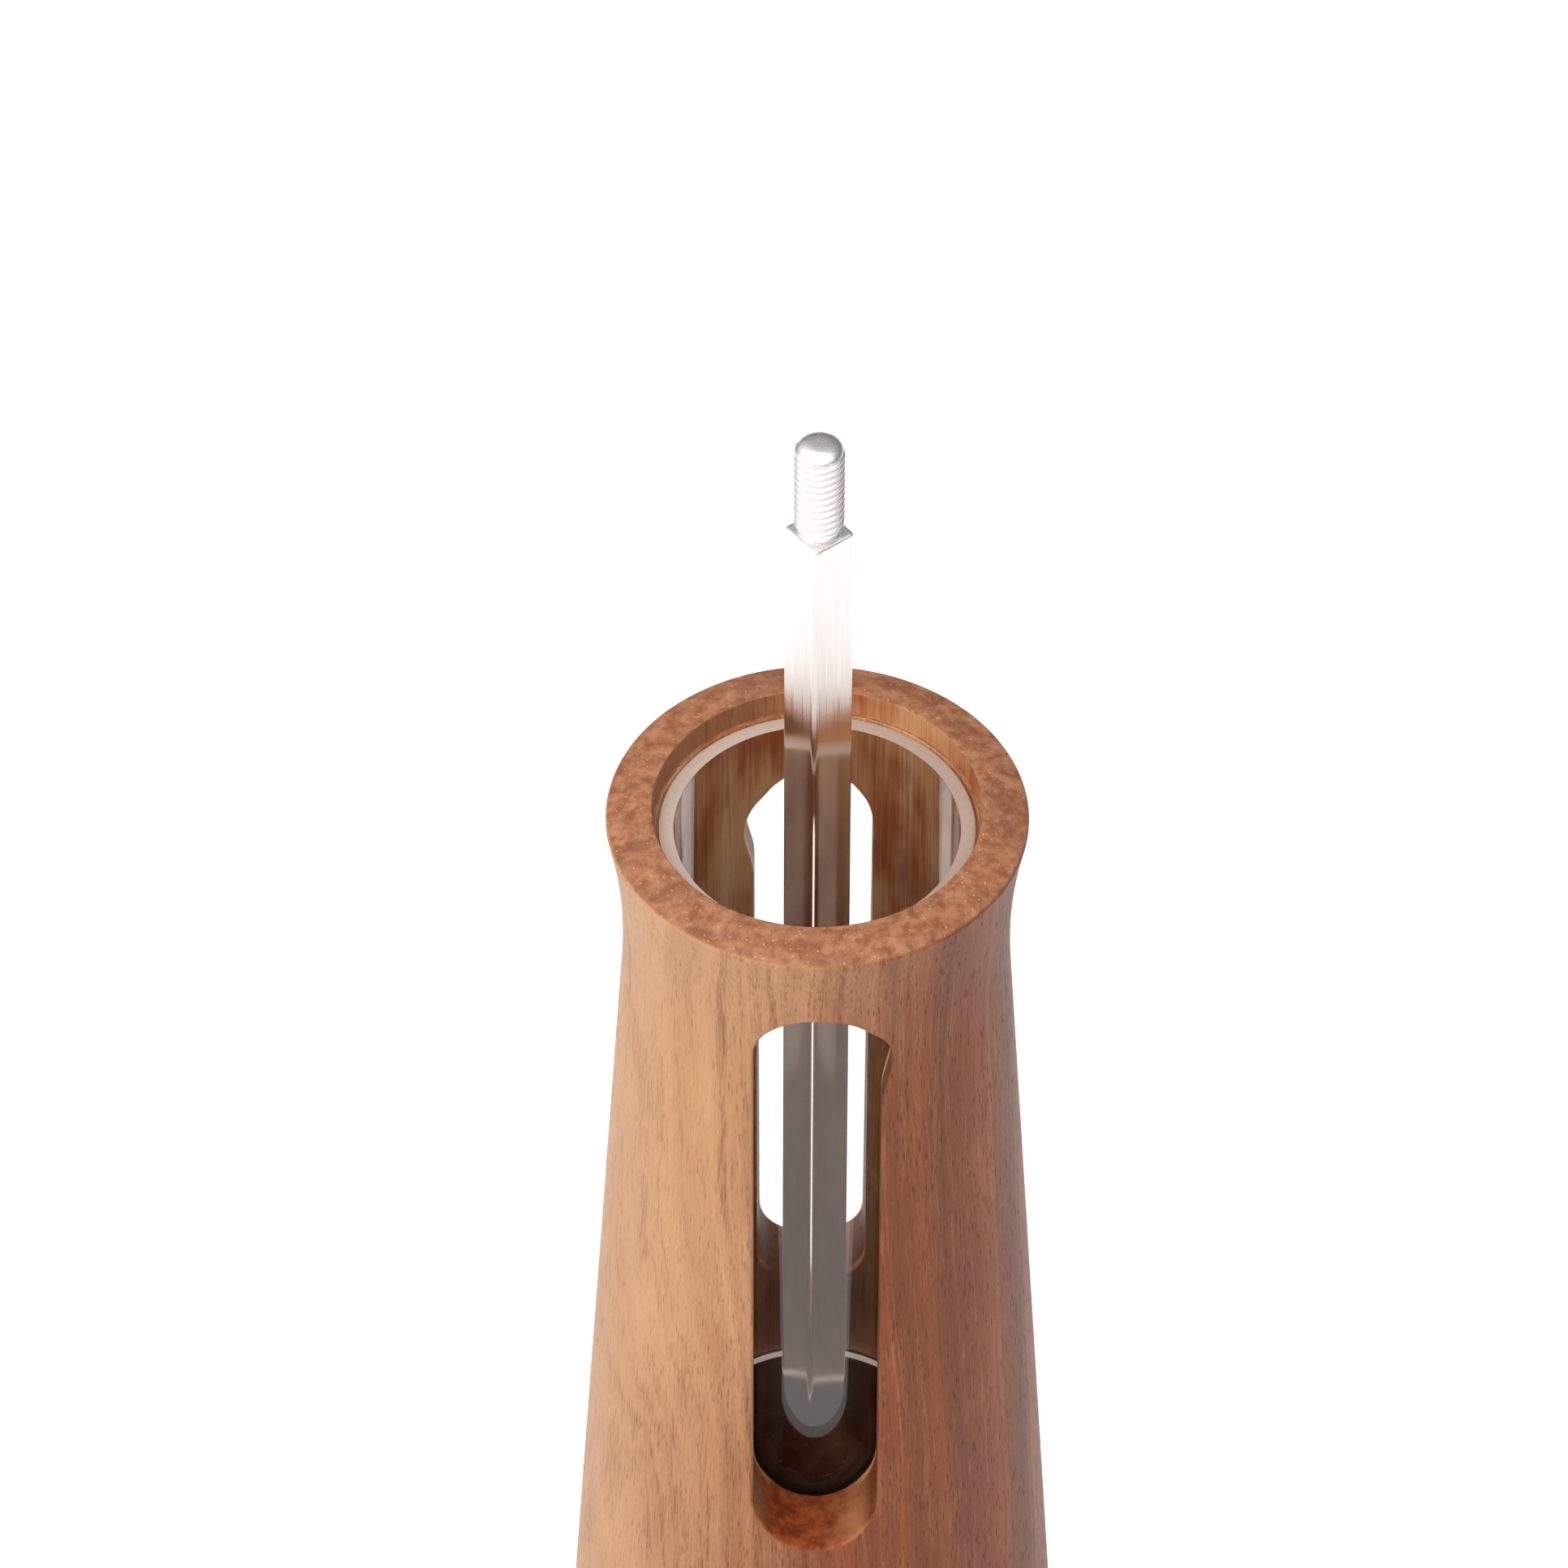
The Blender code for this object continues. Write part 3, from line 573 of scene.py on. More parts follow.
def grinding_ring(finish):
    """The fixed ring: smooth outside, toothed up its cone and bore inside."""
    low, high = bottom("grinding_ring"), top("grinding_ring")
    outside = [(17.35, high, 0, 0), (17.6, high - 0.25, 0, 0), (17.6, low + 0.25, 0, 0), (17.35, low, 0, 0)]
    knee = 9.0
    foot = 11.4 + 0.48 * (knee - low)
    inside = finer([(foot + 0.1, low, 0.8, 0), (foot, low + 0.2, 0.9, 0), (11.4, knee, 0.9, 4)], 15)
    bore = finer([(11.4, knee + 0.3, 0.9, 4), (11.4, high - 0.2, 0.9, 9), (11.6, high, 0.7, 9)], 9)
    rows = np.concatenate([outside, inside, bore])
    grid = toothed(rows[:, :2], 24, rows[:, 2], rows[:, 3])
    mesh = solid("fixed_ring", [(grid, True, True)])
    return show("fixed_ring", mesh, finish, "mill_body", "ceramic", "grinding_ring", angle=28)


def grinding_rotor(finish):
    """The moving cone: teeth that spiral up it, and a plain bore."""
    low, high = bottom("grinding_rotor"), top("grinding_rotor")
    slope = 0.48
    cone = []
    for share in np.linspace(0, 1, 22):
        height = low + 0.2 + (high - low - 0.4) * share
        radius = 12.1 - slope * (min(height, 10.0) - low) - max(height - 10.0, 0) * 0.62
        cone.append((radius, height, -1.0, -34 * share))
    rows = [(11.6, low, -0.7, 0), *cone, (cone[-1][0] - 0.3, high, -0.8, -34)]
    rows += [(5.35, high, 0, 0), (5.15, high - 0.2, 0, 0), (5.15, low + 0.2, 0, 0), (5.35, low, 0, 0)]
    rows = np.array(rows)
    grid = toothed(rows[:, :2], 18, rows[:, 2], rows[:, 3], samples=12, sharp=0.3)
    mesh = solid("moving_cone", [(grid, True, True)])
    return show("moving_cone", mesh, finish, "drive", "ceramic", "grinding_rotor", angle=28)


def rotor_hub(finish):
    """The rotor's core: a turned outside, and a square hole whose outline is carried up it."""
    low, high = bottom("rotor_hub"), top("rotor_hub")
    turns = full_turn(120)
    square = square_outline(turns, SHAFT_SIDE + 0.5, SHAFT_CORNER)
    recess = 5.4
    outside = eased([(5.0, high), (5.0, 4.9), (8.0, 4.9), (8.0, low), (recess, low), (recess, 4.8)], 0.2)
    rows = [radius + 0 * turns for radius in outside[:, 0]] + [square + 0.15, square, square, square + 0.15]
    heights = [*outside[:, 1], 4.8, 4.95, high - 0.15, high]
    grid = round_grid(np.array(rows), turns + SHAFT_TURN, np.array(heights)[:, None])
    mesh = solid("rotor_core", [(grid, True, True)])
    return show("rotor_core", mesh, finish, "drive", "black_plastic", "rotor_hub")


def bridge_arm(turn, half_width, inner, outer):
    """Grid of one arm: a flattened oval section carried from the hub, down a slope, to the ring."""
    path = [(4.9, 25.6), (6.6, 25.5), (8.2, 24.6), (10.6, 22.0), (12.9, 19.4), (14.3, 18.2), (15.6, 18.0)]
    steps, sides = 30, 24
    place = np.linspace(0, 1, steps)
    line = finer(path, steps)
    for _ in range(3):
        line[1:-1] = (line[:-2] + 2 * line[1:-1] + line[2:]) / 4
    along = np.gradient(line, axis=0)
    along /= np.linalg.norm(along, axis=1, keepdims=True)
    across = np.stack([-along[:, 1], along[:, 0]], 1)
    around = full_turn(sides)
    corner = 4.0
    side = np.sign(np.cos(around)) * np.abs(np.cos(around)) ** (2 / corner) * half_width
    rise = np.sign(np.sin(around)) * np.abs(np.sin(around)) ** (2 / corner)
    thick = (inner + (outer - inner) * place)[:, None]
    radius = line[:, :1] + across[:, :1] * rise * thick
    height = line[:, 1:] + across[:, 1:] * rise * thick
    ends = [(radius[k].mean(), height[k].mean()) for k in (0, -1)]
    radius = np.concatenate([np.full((1, sides), ends[0][0]), radius, np.full((1, sides), ends[1][0])])
    height = np.concatenate([np.full((1, sides), ends[0][1]), height, np.full((1, sides), ends[1][1])])
    flat_end = np.zeros((1, sides))
    sideways = np.concatenate([flat_end, np.repeat(side[None], steps, 0), flat_end])
    x = radius * math.sin(turn) + sideways * math.cos(turn)
    y = -radius * math.cos(turn) + sideways * math.sin(turn)
    return (np.stack([x, y, height], -1), True, False)


def spring_bridge(finish):
    """The bridge: ring, three arms and hub, joined into one moulding."""
    low, high = bottom("spring_bridge"), top("spring_bridge")
    ring = eased([(16.1, low + 1.8), (16.1, low), (14.0, low), (14.0, low + 1.8)], 0.3)
    mesh = solid("bridge", [(swept_round(ring, full_turn(96)), True, True)])
    hub = eased([(5.6, high), (7.0, high - 2.0), (7.0, high - 4.0), (4.4, high - 4.0), (4.4, high)], 0.25)
    mesh = cut(mesh, solid("hub", [(swept_round(hub, full_turn(96)), True, True)]), "UNION")
    for k in range(3):
        arm = bridge_arm(math.radians(180 + 120 * k), 1.45, 1.5, 1.0)
        mesh = cut(mesh, solid("arm", [arm]), "UNION")
    return show("bridge", mesh, finish, "mill_body", "black_plastic", "spring_bridge")


SPRING_RADIUS = 5.3
SPRING_WIRE = 0.45
SPRING_TURNS = 4.5


def adjusting_spring(finish):
    """A round wire carried along a helix whose rise eases to nothing at both ends."""
    low, high = bottom("adjusting_spring") + SPRING_WIRE, top("adjusting_spring") - SPRING_WIRE
    steps = 260
    share = np.linspace(0, 1, steps)
    angle = TAU * SPRING_TURNS * share
    height = low + (high - low) * (share - 0.25 * np.sin(TAU * share) / TAU)
    path = np.stack([SPRING_RADIUS * np.cos(angle), SPRING_RADIUS * np.sin(angle), height], 1)
    outward = np.stack([np.cos(angle), np.sin(angle), 0 * angle], 1)
    along = np.gradient(path, axis=0)
    along /= np.linalg.norm(along, axis=1, keepdims=True)
    lift = np.cross(along, outward)
    around = full_turn(20)[None, :, None]
    end = np.minimum(share, 1 - share)[:, None, None] * steps
    thick = SPRING_WIRE * np.sqrt(np.clip(end / 2, 0, 1))
    grid = path[:, None] + thick * (np.cos(around) * outward[:, None] + np.sin(around) * lift[:, None])
    mesh = solid("coil_spring", [(grid, True, False)])
    piece = show("coil_spring", mesh, finish, "mill_body", "steel", "adjusting_spring")
    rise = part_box("adjusting_spring")[1].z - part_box("adjusting_spring")[0].z
    travel = next(j for j in frame["joints"] if j["name"] == "grind_adjust")["range_m"][1]
    (rise - travel) / rise
    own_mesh(piece)
    return piece


def washer(name, node, inner, body, finish):
    """A stamped washer: a flat ring, rounder on the edge that the punch entered."""
    outer, low, high = reach(node), bottom(node), top(node)
    profile = [(inner, high), (inner, low), (outer, low), (outer, high)]
    mesh = ring_mesh(name, eased(profile, [0.12, 0.05, 0.05, 0.2]), 0.01)
    return show(name, mesh, finish, body, "steel", node)


# Fasteners

HEAD_HEIGHT = 1.28
HEAD_DOME = 0.12


def screw_mesh(name, turn, distance, seat, head, root, crest, pitch, length, tip):
    """A screw that stands head down: a tip, a helical thread, a neck, and a head with a cross cut in it."""
    turns = full_turn(72)
    rows = [(0 * turns, seat + length + 0 * turns)]
    heights = np.arange(seat + length - 0.1, seat + 0.6, -0.12)[:, None]
    thread = thread_radius(turns[None], heights, root, crest, pitch)
    point = np.clip((seat + length - heights) / tip, 0, 1) ** 0.7
    fade = smooth(seat + 0.8, seat + 1.8, heights)
    thread = root + (thread - root) * fade
    rows += [(r * p, h + 0 * turns) for r, p, h in zip(thread, point, heights)]
    face = head * 0.78
    rim = [(root, seat), (head, seat), (head, seat - HEAD_HEIGHT * 0.5), (face, seat - HEAD_HEIGHT)]
    rim = eased(rim, [0.1, 0.1, 0.45, 0.2], closed=False)
    rows += [(r + 0 * turns, h + 0 * turns) for r, h in rim]
    for share in np.linspace(0.97, 0, 26):
        radius = face * share
        x, y = radius * np.cos(turns), radius * np.sin(turns)
        arm = head * 0.12
        near = np.minimum(np.abs(x), np.abs(y))
        slot = (1 - smooth(arm, arm * 1.35, near)) * (1 - smooth(head * 0.52, head * 0.58, radius))
        dome = seat - HEAD_HEIGHT - HEAD_DOME * (1 - share**2)
        rows.append((radius + 0 * turns, dome + slot * HEAD_HEIGHT * 0.62))
    radius = np.array([r for r, _ in rows])
    height = np.array([h for _, h in rows])
    grid = np.stack([radius * np.cos(turns), radius * np.sin(turns), height], -1) + off_axis(turn, distance)
    return solid(name, [(grid, True, False)])


def fasteners(finish):
    """Two screws through the bar, four through the flange, and the one in the shaft's foot."""
    names = ["bar_screw_1", "bar_screw_2", *[f"flange_screw_{k}" for k in range(1, 5)]]
    for name, turn in zip(names, screw_places()):
        seat = bottom(name) + HEAD_HEIGHT + HEAD_DOME
        mesh = screw_mesh(
            name + "_fine", turn, SCREW_CIRCLE, seat,
            head=2.4, root=0.95, crest=1.25, pitch=1.1, length=14.0, tip=3.0,
        )
        show(name + "_fine", mesh, finish, "mill_body", "steel", name)
    seat = bottom("shaft_end_screw") + HEAD_HEIGHT + HEAD_DOME
    mesh = screw_mesh(
        "end_screw", 0.0, 0.0, seat,
        head=2.8, root=1.05, crest=1.3, pitch=0.5, length=8.6, tip=0.5,
    )
    show("end_screw", mesh, finish, "drive", "steel", "shaft_end_screw")


def retainer_bar(finish):
    """The bar: an outline with arcs for ends and three holes, given thickness and eased edges."""
    low, high = bottom("retainer_bar"), top("retainer_bar")
    ease = 0.12
    half_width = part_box("retainer_bar")[1].y / MM - ease
    half_length = reach("retainer_bar") - ease
    lean = math.asin(half_width / half_length)
    swing = np.linspace(-lean, lean, 12)
    end = np.stack([half_length * np.cos(swing), half_length * np.sin(swing)], 1)
    circle = full_turn(48)
    ring = np.stack([np.cos(circle), np.sin(circle)], 1)
    outlines = [np.concatenate([end, -end]), ring * (4.2 + ease)]
    outlines += [ring * (SCREW_HOLE + ease) + (side * SCREW_CIRCLE, 0) for side in (-1, 1)]
    data = bpy.data.curves.new("steel_bar", "CURVE")
    data.dimensions = "2D"
    data.fill_mode = "BOTH"
    data.extrude = ((high - low) / 2 - ease) * MM
    data.bevel_depth = ease * MM
    data.bevel_resolution = 2
    for outline in outlines:
        spline = data.splines.new("POLY")
        spline.points.add(len(outline) - 1)
        flat = np.concatenate([outline * MM, np.zeros((len(outline), 1)), np.ones((len(outline), 1))], 1)
        spline.points.foreach_set("co", flat.ravel())
        spline.use_cyclic_u = True
    guide = bpy.data.objects.new("guide", data)
    bpy.context.scene.collection.objects.link(guide)
    graph = bpy.context.evaluated_depsgraph_get()
    graph.update()
    mesh = bpy.data.meshes.new_from_object(guide.evaluated_get(graph))
    mesh.name = "steel_bar"
    bpy.data.objects.remove(guide)
    shell = bmesh.new()
    shell.from_mesh(mesh)
    bmesh.ops.remove_doubles(shell, verts=shell.verts, dist=1e-6)
    bmesh.ops.translate(shell, verts=shell.verts, vec=(0, 0, (low + high) / 2 * MM))
    shell.to_mesh(mesh)
    shell.free()
    return show("steel_bar", mesh, finish, "mill_body", "steel", "retainer_bar")


# Finishes


class Value:
    """A socket of a finish. Arithmetic on it adds Math nodes."""

    def __init__(self, finish, socket):
        self.finish = finish
        self.socket = socket

    def _math(self, operation, first, second):
        return self.finish.node("ShaderNodeMath", {"operation": operation}, {0: first, 1: second})

    def __add__(self, other):
        return self._math("ADD", self, other)

    def __sub__(self, other):
        return self._math("SUBTRACT", self, other)

    def __rsub__(self, other):
        return self._math("SUBTRACT", other, self)

    def __mul__(self, other):
        return self._math("MULTIPLY", self, other)

    def __pow__(self, other):
        return self._math("POWER", self, other)

    def most(self, other):
        return self._math("MAXIMUM", self, other)

    __radd__ = __add__
    __rmul__ = __mul__


class Nodes:
    """A node tree that is built from values."""

    def __init__(self, tree):
        self.tree = tree

    def feed(self, socket, value):
        if isinstance(value, Value):
            self.tree.links.new(value.socket, socket)
        else:
            socket.default_value = value

    def node(self, kind, settings=None, inputs=None, output=0):
        """Adds a node with its settings, then its inputs, and gives one of its outputs."""
        made = self.tree.nodes.new(kind)
        for key, value in (settings or {}).items():
            setattr(made, key, value)
        for key, value in (inputs or {}).items():
            self.feed(made.inputs[key], value)
        return Value(self, made.outputs[output])

    def split(self, vector, part):
        return self.node("ShaderNodeSeparateXYZ", None, {0: vector}, output=part)


class Finish(Nodes):
    """A Principled material. Constants are set on its sockets, and patterns are fed to them."""

    def __init__(self, name, **settings):
        self.material = bpy.data.materials.new(name)
        self.material.use_nodes = True
        super().__init__(self.material.node_tree)
        self.shader = self.tree.nodes["Principled BSDF"]
        self.set(**settings)

    def set(self, **settings):
        """Sets or links the shader's sockets: base_color is the socket named Base Color."""
        for key, value in settings.items():
            name = key.replace("_", " ").title().replace("Ior", "IOR")
            self.feed(self.shader.inputs[name], value)

    def place(self, scale=(1, 1, 1), turn=(0, 0, 0), shift=(0, 0, 0)):
        """Object coordinates in millimetres, shifted, turned and scaled."""
        at = self.node("ShaderNodeTexCoord", output="Object")
        size = tuple(s / MM for s in scale)
        inputs = {"Vector": at, "Scale": size, "Rotation": turn, "Location": shift}
        return self.node("ShaderNodeMapping", None, inputs)

    def noise(self, at, detail=2.0, roughness=0.5):
        inputs = {"Vector": at, "Scale": 1.0, "Detail": detail, "Roughness": roughness}
        return self.node("ShaderNodeTexNoise", None, inputs)

    def bands(self, along, scale, detail=2.0, roughness=0.5):
        """Noise along one value, for layers."""
        inputs = {"W": along, "Scale": scale, "Detail": detail, "Roughness": roughness}
        return self.node("ShaderNodeTexNoise", {"noise_dimensions": "1D"}, inputs)

    def cells(self, at):
        """Distance to the nearest of one random point in each cell."""
        return self.node("ShaderNodeTexVoronoi", None, {"Vector": at, "Scale": 1.0})

    def rise(self, value, low, high, start=0.0, end=1.0):
        """start below low, end above high, and a smooth step between them."""
        inputs = {"Value": value, "From Min": low, "From Max": high, "To Min": start, "To Max": end}
        return self.node("ShaderNodeMapRange", {"interpolation_type": "SMOOTHSTEP"}, inputs)

    def mix(self, share, first, second):
        """Colour mix. Colours are three numbers, or a value."""
        ends = {k: c if isinstance(c, Value) else (*c, 1.0) for k, c in ((6, first), (7, second))}
        return self.node("ShaderNodeMix", {"data_type": "RGBA"}, {0: share, **ends}, output=2)

    def bump(self, height, distance, strength):
        """Normal from a height pattern whose full swing is distance in millimetres."""
        inputs = {"Height": height, "Distance": distance * MM, "Strength": strength}
        return self.node("ShaderNodeBump", None, inputs)


def wood_finish():
    """Oiled hardwood: upright layers about a pith beside the mill, fibres, short pores and dark end grain."""
    f = Finish("oiled_wood", specular_ior_level=0.2)
    at = f.place()
    x, y, z = f.split(at, "X"), f.split(at, "Y"), f.split(at, "Z")

    # Layers round the pith, golden sapwood on the left and red-brown heartwood on the right; the right side's
    # tone is also darkened as painted shade of the side that faces away from the light.
    sway = f.noise(f.place((0.03, 0.03, 0.008)), 2.0) - 0.5
    wander = f.noise(f.place((0.22, 0.22, 0.03)), 3.0) - 0.5
    off_x, off_y = x - 95.0, y - 38.0
    layer = (off_x * off_x + off_y * off_y) ** 0.5 + sway * 12.0 + wander * 1.6
    broad = f.bands(layer, 0.17, 2.0)
    fine = f.bands(layer, 1.1, 3.0, 0.6)
    fibre = f.noise(f.place((3.6, 3.6, 0.05)), 4.0, 0.62)
    thread = f.noise(f.place((8.0, 8.0, 0.16)), 2.0, 0.6)
    patch = f.noise(f.place((0.11, 0.11, 0.045), shift=(5.0, 0.0, 2.0)), 3.0, 0.6)
    # Mask of the right side: red-brown heartwood, and also painted shade where that side turns from the
    # light.
    heart_and_shade = f.rise(x + sway * 16.0 + wander * 9.0 - (z - 90.0) * 0.14, -23.0, 12.0)
    light = f.mix(broad, (0.32, 0.140, 0.054), (0.54, 0.300, 0.152))
    # The right side's tone: heartwood colour, darkened further as painted shade.
    heartwood_and_shade_tone = f.mix(broad, (0.090, 0.023, 0.009), (0.265, 0.066, 0.016))
    colour = f.mix(heart_and_shade, light, heartwood_and_shade_tone)

    # Dark and light streaks, then short dark pores.
    streak = (fine - 0.5) * 0.55 + (fibre - 0.5) * 0.6 + (thread - 0.5) * 0.35 + (patch - 0.5) * 0.5
    streak = streak * (0.9 + heart_and_shade * 0.7)
    colour = f.mix(f.rise(streak, 0.02, -0.34, 0.0, 0.72), colour, (0.115, 0.030, 0.010))
    colour = f.mix(f.rise(streak, 0.02, 0.34, 0.0, 0.36) * (1.0 - heart_and_shade * 0.7), colour, (0.62, 0.38, 0.21))
    crowd = f.noise(f.place((0.25, 0.25, 0.06)), 2.0)
    pores = f.cells(f.place((2.2, 2.2, 0.24)))
    pore = f.rise(pores, 0.30, 0.14) * f.rise(crowd + heart_and_shade * 0.1, 0.36, 0.58)
    vessels = f.cells(f.place((3.6, 3.6, 0.5), shift=(0.4, 0.2, 0.7)))
    pore = pore.most(f.rise(vessels, 0.28, 0.14) * 0.6)
    colour = f.mix(pore * (0.24 + heart_and_shade * 0.46), colour, (0.070, 0.022, 0.012))

    # The seat's wall, with painted shade towards -X and painted light towards +X, and the bore, which was
    # never oiled, in a pale bare-wood tone made paler still as painted light.
    inside = f.rise((x * x + y * y) ** 0.5, SEAT_RADIUS + 0.9, SEAT_RADIUS + 0.3)
    seat = inside * f.rise(z, SEAT_FLOOR - 0.1, SEAT_FLOOR + 0.1)
    # Painted shade: the seat's wall darkens towards -X, the side that faces away from the light.
    colour = f.mix(seat * f.rise(x, 6.0, -12.0, 0.15, 0.6), colour, (0.19, 0.056, 0.020))
    # Painted light: the seat's wall keeps the pale bare tone towards +X, where the light falls.
    inside = inside - seat * f.rise(x, 10.0, -12.0, 0.45, 1.0)
    # Bare unoiled wood, made paler still as painted light for the dim inside of the bore.
    bare_wood_and_painted_light = f.mix(f.rise(patch + (fibre - 0.5) * 0.5, 0.32, 0.66), (0.50, 0.130, 0.036), (0.96, 0.52, 0.24))
    colour = f.mix(inside * 0.9, colour, bare_wood_and_painted_light)

    # End grain where the surface faces up: the rim, stained and dusty, and the windows' oil-soaked feet, with
    # painted light on the feet's +X part.
    up = f.split(f.node("ShaderNodeNewGeometry", output="Normal"), "Z")
    end = f.rise(up, 0.35, 0.8)
    mottle = f.noise(f.place((0.6, 0.6, 0.6)), 4.0, 0.68)
    stain = f.noise(f.place((0.16, 0.16, 0.16), shift=(3.0, 7.0, 0.0)), 3.0, 0.6)
    stain = f.rise(stain, 0.50, 0.70)
    cut = f.mix(f.rise(mottle, 0.3, 0.7), (0.195, 0.063, 0.026), (0.355, 0.160, 0.082))
    cut = f.mix(stain * 0.45, cut, (0.110, 0.044, 0.026))
    dust_specks_and_dark_top = f.rise(f.cells(f.place((1.15, 1.15, 1.15))), 0.17, 0.09)
    cut = f.mix(dust_specks_and_dark_top * 0.40, cut, (0.66, 0.47, 0.35))
    soaked_and_painted_light = f.mix(f.rise(mottle, 0.35, 0.7), (0.12, 0.018, 0.003), (0.25, 0.058, 0.012))
    # Painted light: the windows' feet turn lighter towards +X, where light falls past the slot's wall.
    soaked_and_painted_light = f.mix(f.rise(x + wander * 6.0, 1.0, 7.0, 0.0, 0.6), soaked_and_painted_light, (0.50, 0.23, 0.10))
    cut = f.mix(f.rise(z, SEAT_FLOOR - 10.0, SEAT_FLOOR - 20.0), cut, soaked_and_painted_light)
    colour = f.mix(end * 0.97, colour, cut)

    relief = (fibre * 0.5 + thread * 0.5) * (1.0 - end) + (mottle + dust_specks_and_dark_top * 0.6) * end - pore * 0.8
    f.set(
        base_color=colour,
        roughness=0.46 + (thread - 0.5) * 0.2 + pore * 0.2 + end * 0.12,
        normal=f.bump(relief, 0.09, 0.5),
    )
    return f


def acrylic_finish():
    """Clear acrylic with sawn, frosted ends; the lower one is painted paler and given a painted glow that
    stands in for light led down the wall.
    """
    low, high = bottom("window_tube"), top("window_tube")
    f = Finish(
        "clear_acrylic", base_color=(0.99, 0.98, 0.975, 1), transmission_weight=1.0, ior=1.49,
        specular_tint=(1.0, 0.86, 0.79, 1),
    )
    height = f.split(f.place(), "Z")
    ends = f.rise(height, high - 0.10, high - 0.02).most(f.rise(height, low + 0.10, low + 0.02))
    saw = f.noise(f.place((2.0, 2.0, 2.0)), 3.0)
    scuff = f.noise(f.place((6.0, 6.0, 0.5)), 2.0)
    f.set(roughness=0.012 + f.rise(scuff, 0.6, 0.8) * 0.02 + ends * 0.5)
    tint = f.mix(saw, (0.48, 0.355, 0.290), (0.64, 0.505, 0.425))
    # Painted shade: the frosted ends turn darker towards +X, the side away from the light.
    painted_shade_tint = f.mix(saw, (0.36, 0.255, 0.205), (0.48, 0.365, 0.300))
    tint = f.mix(f.rise(f.split(f.place(), "X"), -14.0, 14.0), tint, painted_shade_tint)
    # Painted light: the frosted ends turn paler towards the lower end, which also gets a painted glow for
    # light led down the wall.
    tint = f.mix(f.rise(height, high - 20.0, low + 20.0), tint, (0.86, 0.77, 0.71))
    painted_glow = f.mix(f.rise(height, high - 20.0, low + 20.0), (0, 0, 0), (0.42, 0.33, 0.285))
    frost = f.node("ShaderNodeBsdfPrincipled", None, {
        "Base Color": tint, "Roughness": 0.9, "Specular IOR Level": 0.1,
        "Emission Color": painted_glow, "Emission Strength": 1.0,
    })
    clear = Value(f, f.shader.outputs[0])
    both = f.node("ShaderNodeMixShader", None, {0: ends * 0.8, 1: clear, 2: frost})
    out = f.tree.nodes["Material Output"]
    f.feed(out.inputs["Surface"], both)
    return f


def aluminium_finish():
    """Drawn aluminium bar: streaks that run its length, and a few dull handling marks."""
    f = Finish("drawn_aluminium", metallic=1.0)
    streak = f.noise(f.place((7.0, 7.0, 0.04)), 4.0, 0.7)
    hair = f.noise(f.place((22.0, 22.0, 0.15)), 2.0, 0.6)
    mark = f.rise(f.noise(f.place((0.5, 0.5, 0.3)), 4.0, 0.7), 0.62, 0.75)
    rubbed = f.rise(f.split(f.place(), "Z"), RIM_TOP + 13.0, RIM_TOP + 22.0)
    f.set(
        base_color=f.mix(hair, (0.76, 0.715, 0.69), (0.90, 0.86, 0.84)),
        roughness=0.06 + streak * 0.07 + f.rise(streak, 0.34, 0.58, 0.3, 1.0) * rubbed * 0.30 + mark * 0.08,
        normal=f.bump(streak, 0.004, 0.3),
    )
    return f


def plastic_finish():
    """Black moulded plastic with a fine spark-eroded texture."""
    f = Finish("black_moulding", specular_ior_level=0.25)
    grain = f.noise(f.place((5.0, 5.0, 5.0)), 3.0, 0.6)
    dull = f.noise(f.place((0.3, 0.3, 0.3)), 2.0)
    f.set(
        base_color=f.mix(dull, (0.010, 0.009, 0.009), (0.022, 0.020, 0.019)),
        roughness=0.45 + grain * 0.2,
        normal=f.bump(grain, 0.015, 0.5),
    )
    return f


def ceramic_finish():
    """Unglazed white ceramic, slightly warm, with a fine grain, and darker on its upper parts."""
    f = Finish("white_ceramic", specular_ior_level=0.5)
    grain = f.noise(f.place((6.0, 6.0, 6.0)), 3.0, 0.6)
    speck = f.rise(f.cells(f.place((0.9, 0.9, 0.9))), 0.12, 0.05)
    tone = f.mix(grain, (0.70, 0.67, 0.61), (0.80, 0.78, 0.73))
    high = top("grinding_ring")
    # Darker towards the top of the grinding ring.
    dust_specks_and_dark_top = f.rise(f.split(f.place(), "Z") + grain * 3.0, high - 3.5, high + 0.5)
    tone = f.mix(dust_specks_and_dark_top, tone, (0.030, 0.024, 0.020))
    f.set(
        base_color=f.mix(speck * 0.35, tone, (0.45, 0.40, 0.33)),
        roughness=0.38 + grain * 0.2,
        normal=f.bump(grain, 0.01, 0.5),
    )
    return f


def steel_finish():
    """Plain stainless steel, tumbled: fine random scratches and soft dull patches."""
    f = Finish("stainless_steel", metallic=1.0)
    dull = f.noise(f.place((0.6, 0.6, 0.6)), 3.0)
    scratch = f.noise(f.place((14.0, 1.2, 1.2), turn=(0, 0, 0.5)), 3.0, 0.7)
    f.set(
        base_color=f.mix(dull, (0.52, 0.51, 0.50), (0.66, 0.655, 0.645)),
        roughness=0.2 + dull * 0.14 + scratch * 0.08,
        normal=f.bump(scratch, 0.006, 0.5),
    )
    return f


# Stage, lights and camera

CAMERA_RISE = math.radians(45.245)
CAMERA_ROLL = math.radians(0.180)
CAMERA_DISTANCE = 1067.3
CAMERA_LENS = 205.6
AIM = (-3.99, 0.0, RIM_TOP + 3.89)
GLOWS = [(-80, 38, 3.0, 1.5), (-6, 60, 4.0, 3.2)]


